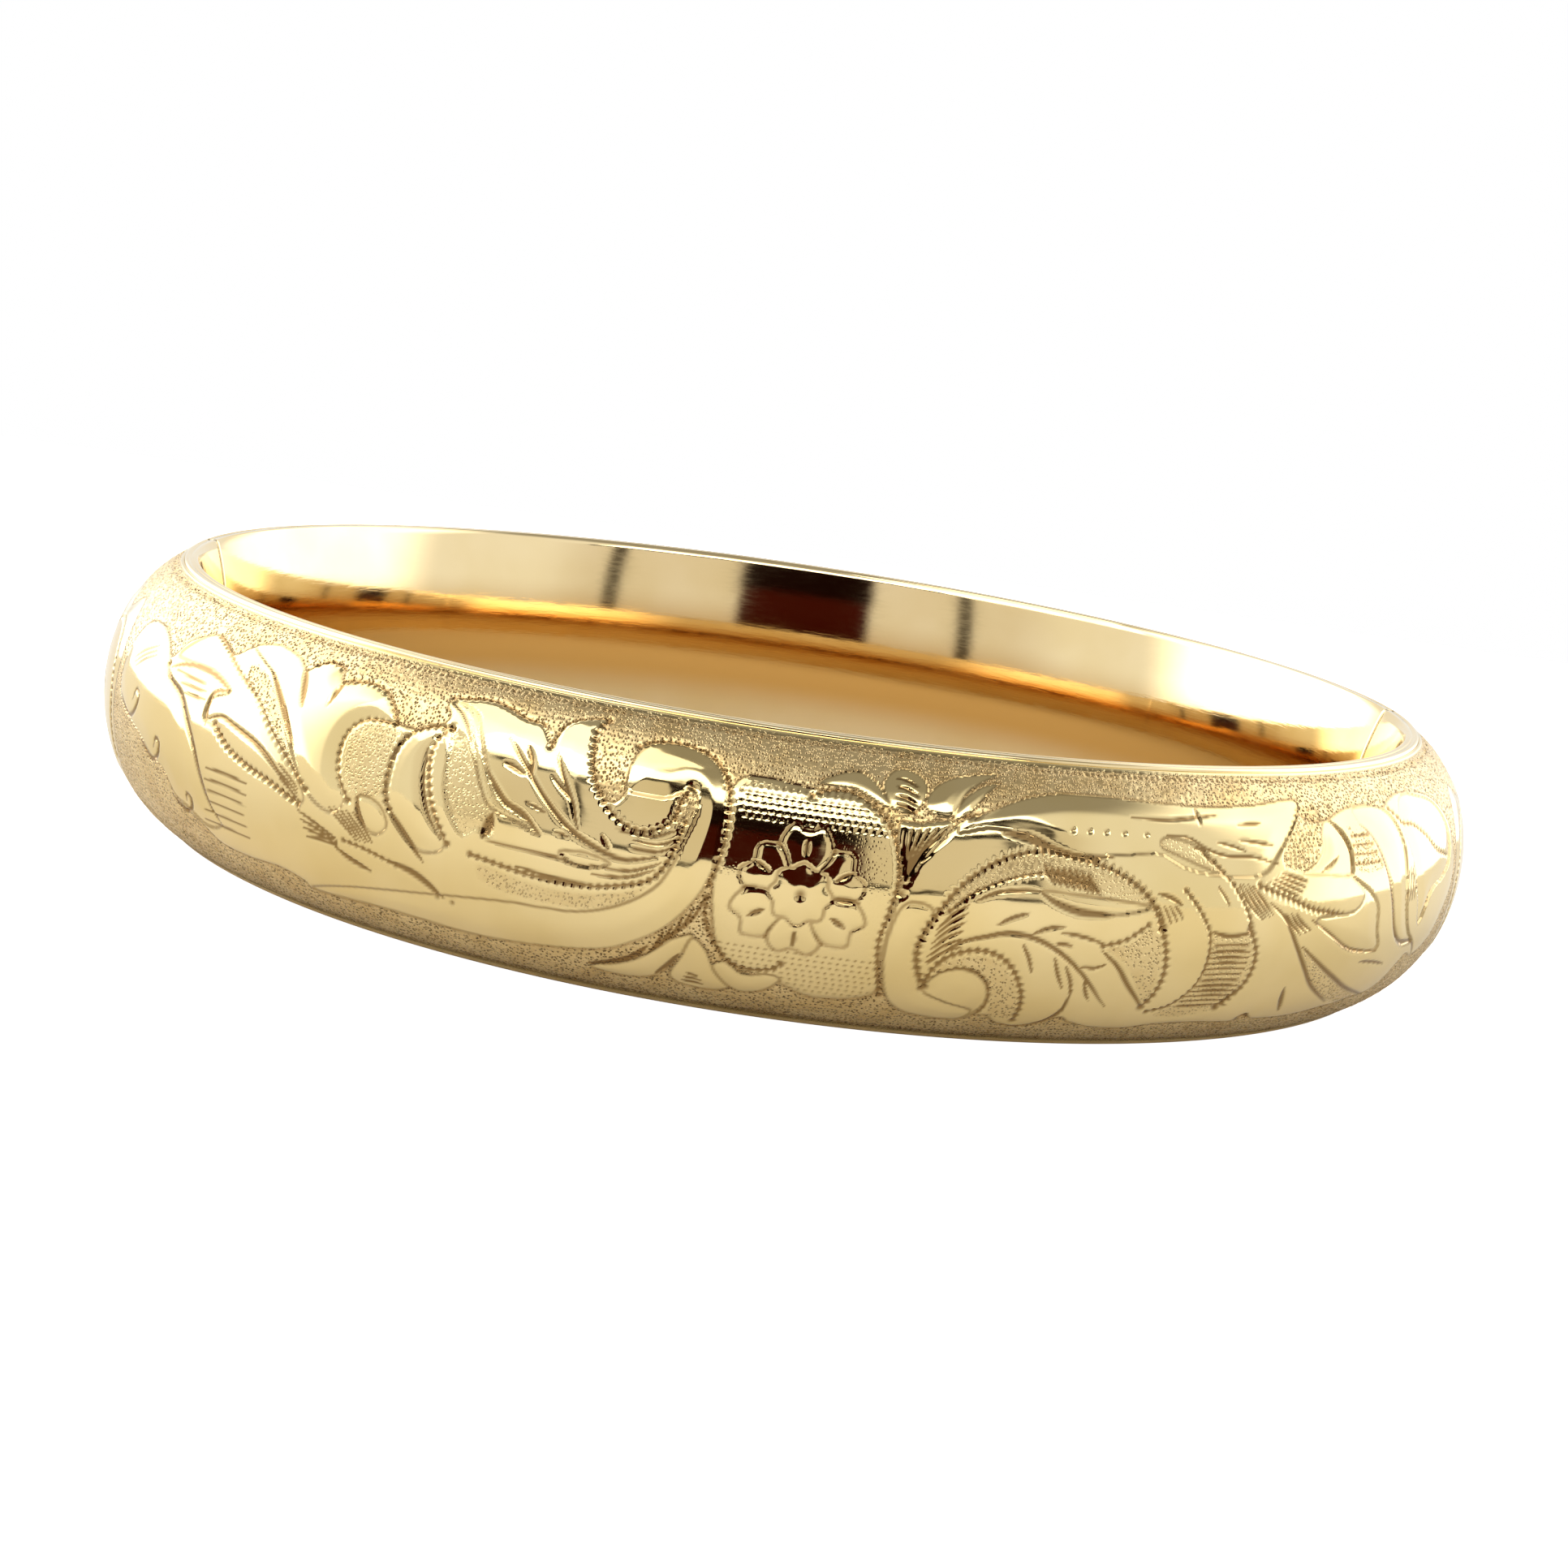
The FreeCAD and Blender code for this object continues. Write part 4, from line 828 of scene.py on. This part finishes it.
def stitch(outer, inner, rows, columns):
    """Faces between the fine outer boundary and the coarse inner one."""
    faces = []
    for row, near, flip in ((0, 0, False), (outer.shape[0] - 1, len(rows) - 1, True)):
        for index, (start, end) in enumerate(zip(columns, columns[1:])):
            ring = [*outer[row, start:end + 1], inner[near, index + 1], inner[near, index]]
            faces.append(ring if flip else ring[::-1])
    for column, near, flip in ((0, 0, True), (outer.shape[1] - 1, len(columns) - 1, False)):
        for index, (start, end) in enumerate(zip(rows, rows[1:])):
            ring = [*outer[start:end + 1, column], inner[index + 1, near], inner[index, near]]
            faces.append(ring if flip else ring[::-1])
    return faces


def quads(ids, flip):
    """Faces of a grid of points."""
    corners = [ids[:-1, :-1], ids[:-1, 1:], ids[1:, 1:], ids[1:, :-1]]
    if flip:
        corners.reverse()
    return np.stack(corners, -1).reshape(-1, 4).tolist()


def inner_heights(z):
    """Heights of the inner surface's rows: level with the outer rows, but drawn in near the edges."""
    start = HINGE_NOTCH + 0.2
    squeeze = (EDGE_Z - 0.24 - start) / (EDGE_Z - start)
    reach = np.abs(z)
    return np.sign(z) * np.where(reach > start, start + (reach - start) * squeeze, reach)


def make_shell(name, front, cell, material):
    """A closed shell of the CAD's gauge: a fine outer surface on a coarser inner one."""
    across, pairs = rows_over_dome(cell)
    end = angle_at(FRONT_SEAM, np.array([DOME]))[0] if front else -angle_at(REAR_SEAM, np.array([DOME]))[0]
    reach = np.interp(math.pi / 2 + end, TURN, ROUND)
    along = np.linspace(-reach, reach, round(2 * reach / cell) + 1)
    z = height_at(across)
    relief = engraving(along, across) if front else None
    outside = shell_points(along, z, dome(z), front, dome_slope(z), relief.height if front else 0.0)
    step = max(2, round(INNER_CELL / cell))
    rows = coarse(len(across), step, pairs)
    columns = coarse(len(along), step)
    inner_z = inner_heights(z[rows])
    inner_offset = np.concatenate([[EDGE_OFFSET], dome(inner_z, SHEET), [EDGE_OFFSET]])
    inner_z = np.concatenate([inner_z[:1], inner_z, inner_z[-1:]])
    rows = [rows[0], *rows, rows[-1]]
    inside = shell_points(along[columns], inner_z, inner_offset, front)
    outer_ids = np.arange(outside[..., 0].size).reshape(outside.shape[:2])
    inner_ids = outer_ids.size + np.arange(inside[..., 0].size).reshape(inside.shape[:2])
    faces = quads(outer_ids, not front) + quads(inner_ids, front)
    ribbon = stitch(outer_ids, inner_ids, rows, columns)
    faces += ribbon if front else [face[::-1] for face in ribbon]
    points = np.concatenate([outside.reshape(-1, 3), inside.reshape(-1, 3)])
    body = "front_half" if front else "rear_half"
    piece = make_object(name, points, faces, body, name, material)
    if front:
        store(piece, "ground", relief.ground, inside[..., 0].size)
        # The cut mask carries the painted shade of the cuts to the material.
        store(piece, "cut", relief.cut, inside[..., 0].size)
    lay_flat(piece, outer_ids.shape, inner_ids.shape)
    return piece


def store(piece, name, values, rest):
    """Keep a value for each outer point for the material; the rest of the points get 0."""
    layer = piece.data.attributes.new(name, "FLOAT", "POINT")
    layer.data.foreach_set("value", np.concatenate([values.ravel(), np.zeros(rest)]).astype(np.float32))


def lay_flat(piece, fine, rough):
    """A map for the baked finish: the outer surface over most of the square, the inner one below it."""
    maps = []
    for shape, low, high in ((fine, 0.25, 1.0), (rough, 0.0, 0.22)):
        rising = np.linspace(low + 0.01, high - 0.01, shape[0])
        u, v = np.meshgrid(np.linspace(0.01, 0.99, shape[1]), rising)
        maps.append(np.stack([u, v], -1).reshape(-1, 2))
    spots = np.concatenate(maps)
    mesh = piece.data
    corners = np.zeros(len(mesh.loops), np.int32)
    mesh.loops.foreach_get("vertex_index", corners)
    layer = mesh.uv_layers.new(name="OFBake")
    layer.data.foreach_set("uv", spots[corners].ravel().astype(np.float32))


def lining_section():
    """Closed section of a lining as (offset, z), going round its crowned wall and both folded rims."""
    radius = (HALF_BAND**2 + CROWN**2) / (2 * CROWN)
    wall = np.linspace(-HALF_BAND + CORNER, HALF_BAND - CORNER, 49)
    section = [(radius - CROWN - math.sqrt(radius**2 - z * z), z) for z in wall]
    turns = np.linspace(0, math.pi / 2, 6)
    fold = [(CORNER - CORNER * math.cos(t), HALF_BAND - CORNER + CORNER * math.sin(t)) for t in turns[1:]]
    fold += [(0.3, HALF_BAND), (0.37, HALF_BAND - 0.1), (0.44, HALF_BAND)]
    fold += [(RIM_LAP - LIP + LIP * math.sin(t), HALF_BAND - LIP + LIP * math.cos(t)) for t in turns]
    fold += [(RIM_LAP, HALF_BAND - RIM_GAUGE + 0.04), (RIM_LAP - 0.04, HALF_BAND - RIM_GAUGE)]
    fold += [(0.34, HALF_BAND - RIM_GAUGE)]
    back_radius = radius - SHEET
    back = np.linspace(HALF_BAND - RIM_GAUGE - 0.1, -HALF_BAND + RIM_GAUGE + 0.1, 17)
    section += fold
    section += [(radius - CROWN - math.sqrt(back_radius**2 - z * z), z) for z in back]
    section += [(offset, -z) for offset, z in reversed(fold)]
    return np.array(section)


def make_lining(name, front, material):
    """A crowned inner sheet swept round its half and closed at the seam."""
    section = lining_section()
    seam = FRONT_SEAM if front else REAR_SEAM
    end = angle_at(seam, section[:, 0]) * (1 if front else -1)
    share = np.linspace(-1, 1, LINING_COLUMNS)[:, None]
    turn = share * (math.pi / 2 + end)[None, :]
    angle = turn - math.pi / 2 if front else math.pi / 2 - turn
    x, y = oval(angle, section[None, :, 0])
    points = np.stack([x, y, section[None, :, 1] + 0 * x], -1)
    count = len(section)
    ids = np.arange(points[..., 0].size).reshape(points.shape[:2])
    ring = np.concatenate([ids, ids[:, :1]], 1)
    faces = quads(ring, not front)
    caps = [list(range(count)), list(range(ids.size - count, ids.size))[::-1]]
    faces += caps if not front else [cap[::-1] for cap in caps]
    body = "front_half" if front else "rear_half"
    return make_object(name, points.reshape(-1, 3), faces, body, name, material)


# Materials ------------------------------------------------------------------------------------------


class Graph:
    """Short forms for building a node tree."""

    def __init__(self, tree):
        self.tree = tree

    def node(self, kind, **settings):
        made = self.tree.nodes.new(kind)
        for name, value in settings.items():
            setattr(made, name, value)
        return made

    def feed(self, socket, value):
        if isinstance(value, bpy.types.NodeSocket):
            self.tree.links.new(value, socket)
        else:
            socket.default_value = value

    def math(self, operation, *values):
        made = self.node("ShaderNodeMath", operation=operation)
        for socket, value in zip(made.inputs, values):
            self.feed(socket, value)
        return made.outputs[0]

    def spread(self, value, low, high, start=0.0, end=1.0):
        made = self.node("ShaderNodeMapRange", interpolation_type="SMOOTHSTEP")
        for socket, given in zip(made.inputs, (value, low, high, start, end)):
            self.feed(socket, given)
        return made.outputs[0]

    def mix(self, share, first, second):
        made = self.node("ShaderNodeMix", data_type="RGBA")
        self.feed(made.inputs[0], share)
        self.feed(made.inputs[6], first)
        self.feed(made.inputs[7], second)
        return made.outputs[2]

    def noise(self, place, scale, detail=2.0):
        made = self.node("ShaderNodeTexNoise")
        self.feed(made.inputs["Vector"], place)
        made.inputs["Scale"].default_value = scale
        made.inputs["Detail"].default_value = detail
        return made.outputs[0]

    def pits(self, place, scale):
        made = self.node("ShaderNodeTexVoronoi")
        self.feed(made.inputs["Vector"], place)
        made.inputs["Scale"].default_value = scale
        return made.outputs["Distance"]

    def bump(self, height, strength, reach, before=None):
        made = self.node("ShaderNodeBump")
        made.inputs["Strength"].default_value = strength
        made.inputs["Distance"].default_value = reach
        self.feed(made.inputs["Height"], height)
        if before:
            self.feed(made.inputs["Normal"], before)
        return made.outputs[0]


def start_gold(name):
    """A metal material, a helper that adds nodes to it, and the place on the object."""
    material = bpy.data.materials.new(name)
    material.use_nodes = True
    graph = Graph(material.node_tree)
    shader = material.node_tree.nodes["Principled BSDF"]
    shader.inputs["Metallic"].default_value = 1.0
    place = graph.node("ShaderNodeTexCoord").outputs["Object"]
    return material, graph, shader, place


def scratches(graph, place):
    """Fine wear that runs mostly round the band."""
    turned = graph.node("ShaderNodeMapping")
    graph.feed(turned.inputs["Vector"], place)
    turned.inputs["Scale"].default_value = (1.0, 1.0, 9.0)
    lines = graph.noise(turned.outputs[0], 900.0, 4.0)
    return graph.spread(lines, 0.42, 0.62)


def make_gold(name, colour, dull, rough, wear, painted_reflection_core=None):
    """Polished metal: colour where clean, dull where handled, with worn patches and scratches.

    A colour given for the middle of the band, away from its two rims, is a painted reflection there: the deeper
    orange band that the inner wall shows where it mirrors the gold.
    """
    material, graph, shader, place = start_gold(name)
    patches = graph.spread(graph.noise(place, 160.0, 3.0), 0.35, 0.7)
    marks = scratches(graph, place)
    tone = graph.mix(patches, (*colour, 1), (*dull, 1))
    # Painted reflection: the middle of the band, away from its rims, is mixed towards the given deeper colour.
    if painted_reflection_core:
        parts = graph.node("ShaderNodeSeparateXYZ")
        graph.feed(parts.inputs[0], place)
        reach = graph.math("ABSOLUTE", parts.outputs[2])
        tone = graph.mix(graph.spread(reach, 0.0008, 0.0038), (*painted_reflection_core, 1), tone)
    graph.feed(shader.inputs["Base Color"], tone)
    worn = graph.math("MULTIPLY_ADD", patches, wear, rough)
    graph.feed(shader.inputs["Roughness"], graph.math("MULTIPLY_ADD", marks, wear * 0.5, worn))
    graph.feed(shader.inputs["Normal"], graph.bump(marks, 0.08, 0.000004))
    return material


def make_engraved_gold():
    """The front shell's finish: polished leaves, cuts darkened with painted shade, and a ground of fine punched
    pits with painted shade in them.
    """
    material, graph, shader, place = start_gold("engraved_gold")
    ground = graph.node("ShaderNodeAttribute", attribute_name="ground").outputs["Fac"]
    cut = graph.node("ShaderNodeAttribute", attribute_name="cut").outputs["Fac"]
    patches = graph.spread(graph.noise(place, 150.0, 3.0), 0.35, 0.7)
    polished = graph.mix(patches, (0.87, 0.70, 0.37, 1), (0.80, 0.62, 0.29, 1))
    pits = graph.spread(graph.pits(place, 7500.0), 0.1, 0.5)
    grime = graph.spread(graph.noise(place, 700.0, 3.0), 0.3, 0.75, 0.25, 1.0)
    worn = graph.mix(grime, (0.82, 0.64, 0.34, 1), (0.66, 0.47, 0.21, 1))
    # Painted shade: the middle of each punched pit is darkened towards dark brown.
    deep = graph.mix(pits, (0.14, 0.08, 0.025, 1), worn)
    matted = graph.mix(ground, polished, deep)
    # Painted shade: the cuts are mixed towards dark brown.
    shade = graph.math("MULTIPLY", cut, 0.85)
    graph.feed(shader.inputs["Base Color"], graph.mix(shade, matted, (0.2, 0.1, 0.025, 1)))
    marks = scratches(graph, place)
    smooth_part = graph.math("MULTIPLY_ADD", marks, 0.03, 0.06)
    graph.feed(shader.inputs["Roughness"], graph.math("MULTIPLY_ADD", ground, 0.2, smooth_part))
    fine = graph.bump(marks, 0.05, 0.000003)
    grain = graph.math("MULTIPLY", pits, ground)
    graph.feed(shader.inputs["Normal"], graph.bump(grain, 0.9, 0.00005, fine))
    return material


def make_floor_material():
    """Off-white in reflections, plain white where the camera sees it directly."""
    material = bpy.data.materials.new("pale_floor")
    material.use_nodes = True
    graph = Graph(material.node_tree)
    shader = material.node_tree.nodes["Principled BSDF"]
    shader.inputs["Base Color"].default_value = (0.71, 0.69, 0.65, 1)
    shader.inputs["Roughness"].default_value = 0.9
    shader.inputs["Emission Color"].default_value = (1, 1, 1, 1)
    seen = graph.node("ShaderNodeLightPath").outputs["Is Camera Ray"]
    graph.feed(shader.inputs["Emission Strength"], seen)
    return material


# Light, floor and camera ----------------------------------------------------------------------------


def band(graph, value, low, high, soft):
    """1 where the value lies between low and high, in degrees, with soft edges."""
    values = [math.radians(item) for item in (low - soft, low + soft, high - soft, high + soft)]
    rise = graph.spread(value, values[0], values[1])
    fall = graph.spread(value, values[2], values[3], 1.0, 0.0)
    return graph.math("MULTIPLY", rise, fall)


def light_tent():
    """A white tent, open towards the viewer, as a light that depends on direction only."""
    world = bpy.data.worlds.new("tent")
    bpy.context.scene.world = world
    world.use_nodes = True
    graph = Graph(world.node_tree)
    parts = graph.node("ShaderNodeSeparateXYZ")
    graph.feed(parts.inputs[0], graph.node("ShaderNodeTexCoord").outputs["Generated"])
    x, y, z = parts.outputs
    rise = graph.math("ARCSINE", z)
    turn = graph.math("ARCTAN2", x, graph.math("MULTIPLY", y, -1.0))
    colour = (0.95, 0.95, 0.93, 1)
    # Each band: azimuths, elevations, width of its soft edge, colour. The later ones cover the earlier.
    for turns, rises, soft, light in (
        ((-180, 180), (52, 100), 6, (0.36, 0.35, 0.33, 1)),
        ((-150, -78), (-25, 50), 10, (3.2, 3.2, 3.2, 1)),
        ((84, 150), (-25, 50), 10, (2.4, 2.4, 2.4, 1)),
        ((-46, 46), (-12, 34), 7, (0.80, 0.76, 0.70, 1)),
        ((-56, 42), (36, 48), 1.2, (3.4, 3.4, 3.3, 1)),
        ((-48, 44), (31, 35), 0.8, (0.02, 0.015, 0.01, 1)),
        ((-48, 48), (-6, -1.5), 0.8, (0.03, 0.02, 0.01, 1)),
        ((-12, 12), (-3, 33), 1, (0.045, 0.005, 0.002, 1)),
        ((-12, 12), (19, 33), 2, (0.008, 0.002, 0.001, 1)),
        ((-31.5, -28.5), (4, 30), 0.8, (0.06, 0.05, 0.04, 1)),
        ((34.5, 37.5), (4, 30), 0.8, (0.06, 0.05, 0.04, 1)),
    ):
        share = graph.math("MULTIPLY", band(graph, turn, *turns, soft), band(graph, rise, *rises, soft))
        colour = graph.mix(share, colour, light)
    seen = graph.node("ShaderNodeLightPath").outputs["Is Camera Ray"]
    graph.feed(world.node_tree.nodes["Background"].inputs["Color"], graph.mix(seen, colour, (1, 1, 1, 1)))


def soft_lamp(name, place, size, power):
    """A square lamp that faces the middle of the band."""
    lamp = bpy.data.lights.new(name, "AREA")
    lamp.size = size
    lamp.energy = power
    holder = bpy.data.objects.new(name, lamp)
    holder.location = place
    holder.rotation_euler = (-Vector(place)).to_track_quat("-Z", "Y").to_euler()
    bpy.context.scene.collection.objects.link(holder)


def make_floor():
    """A square ground, a hair below the band."""
    reach = 0.13
    corners = [(-reach, -reach), (reach, -reach), (reach, reach), (-reach, reach)]
    mesh = bpy.data.meshes.new("floor")
    mesh.from_pydata([(x, y, FLOOR_Z - 0.00002) for x, y in corners], [], [(0, 1, 2, 3)])
    mesh.materials.append(make_floor_material())
    floor = bpy.data.objects.new("floor", mesh)
    bpy.context.scene.collection.objects.link(floor)


def make_camera():
    """The viewer's place: a little left of the front, above it, and leaning to one side."""
    turn, rise, roll = (math.radians(value) for value in (-1.90, 11.18, 8.53))
    back = Vector((math.sin(turn) * math.cos(rise), -math.cos(turn) * math.cos(rise), math.sin(rise)))
    right = (-back).cross(Vector((0, 0, 1))).normalized()
    up = right.cross(-back)
    across = right * math.cos(roll) + up * math.sin(roll)
    above = up * math.cos(roll) - right * math.sin(roll)
    data = bpy.data.cameras.new("camera")
    data.lens = 60.37
    data.sensor_width = 36.0
    data.shift_x = -0.0025
    data.shift_y = -0.0225
    data.clip_start = 0.005
    data.clip_end = 50.0
    camera = bpy.data.objects.new("camera", data)
    facing = Matrix((across, above, back)).transposed().to_4x4()
    camera.matrix_world = Matrix.Translation(back * VIEW_DISTANCE) @ facing
    bpy.context.scene.collection.objects.link(camera)
    bpy.context.scene.camera = camera


# The bangle -----------------------------------------------------------------------------------------


def paint_cad_nodes(finishes):
    """Small fittings keep their CAD shape and take the finish of their material slot."""
    for part in frame["record"]["subparts"]:
        node = frame["nodes"][part["node"]]
        node.data.materials.clear()
        node.data.materials.append(finishes[part["material_slot"]])


def make_bangle():
    """Fine meshes for the sheets, and finishes for the fittings."""
    finishes = {
        "engraved_gold": make_engraved_gold(),
        "polished_gold": make_gold("polished_gold", (0.90, 0.73, 0.42), (0.84, 0.66, 0.35), 0.06, 0.05),
        "plate_gold": make_gold("plate_gold", (0.80, 0.64, 0.36), (0.66, 0.50, 0.27), 0.3, 0.12),
        "hinge_gold": make_gold("hinge_gold", (0.84, 0.68, 0.40), (0.70, 0.54, 0.30), 0.2, 0.1),
        "spring_gold": make_gold("spring_gold", (0.82, 0.67, 0.40), (0.72, 0.57, 0.33), 0.24, 0.1),
    }
    paint_cad_nodes(finishes)
    make_shell("front_shell", True, FRONT_CELL, finishes["engraved_gold"])
    make_shell("rear_shell", False, REAR_CELL, finishes["polished_gold"])
    # The inner sheets get a painted reflection: a deeper orange band along the middle of the wall.
    inner_gold = make_gold(
        "inner_gold", (0.93, 0.75, 0.44), (0.88, 0.69, 0.37), 0.05, 0.04, painted_reflection_core=(0.58, 0.32, 0.09))
    make_lining("front_lining", True, inner_gold)
    make_lining("rear_lining", False, inner_gold)


make_bangle()
light_tent()
soft_lamp("key", (-0.25, -0.2, 0.4), 0.35, 0.6)
make_floor()
make_camera()
bpy.context.scene.view_settings.view_transform = "Standard"
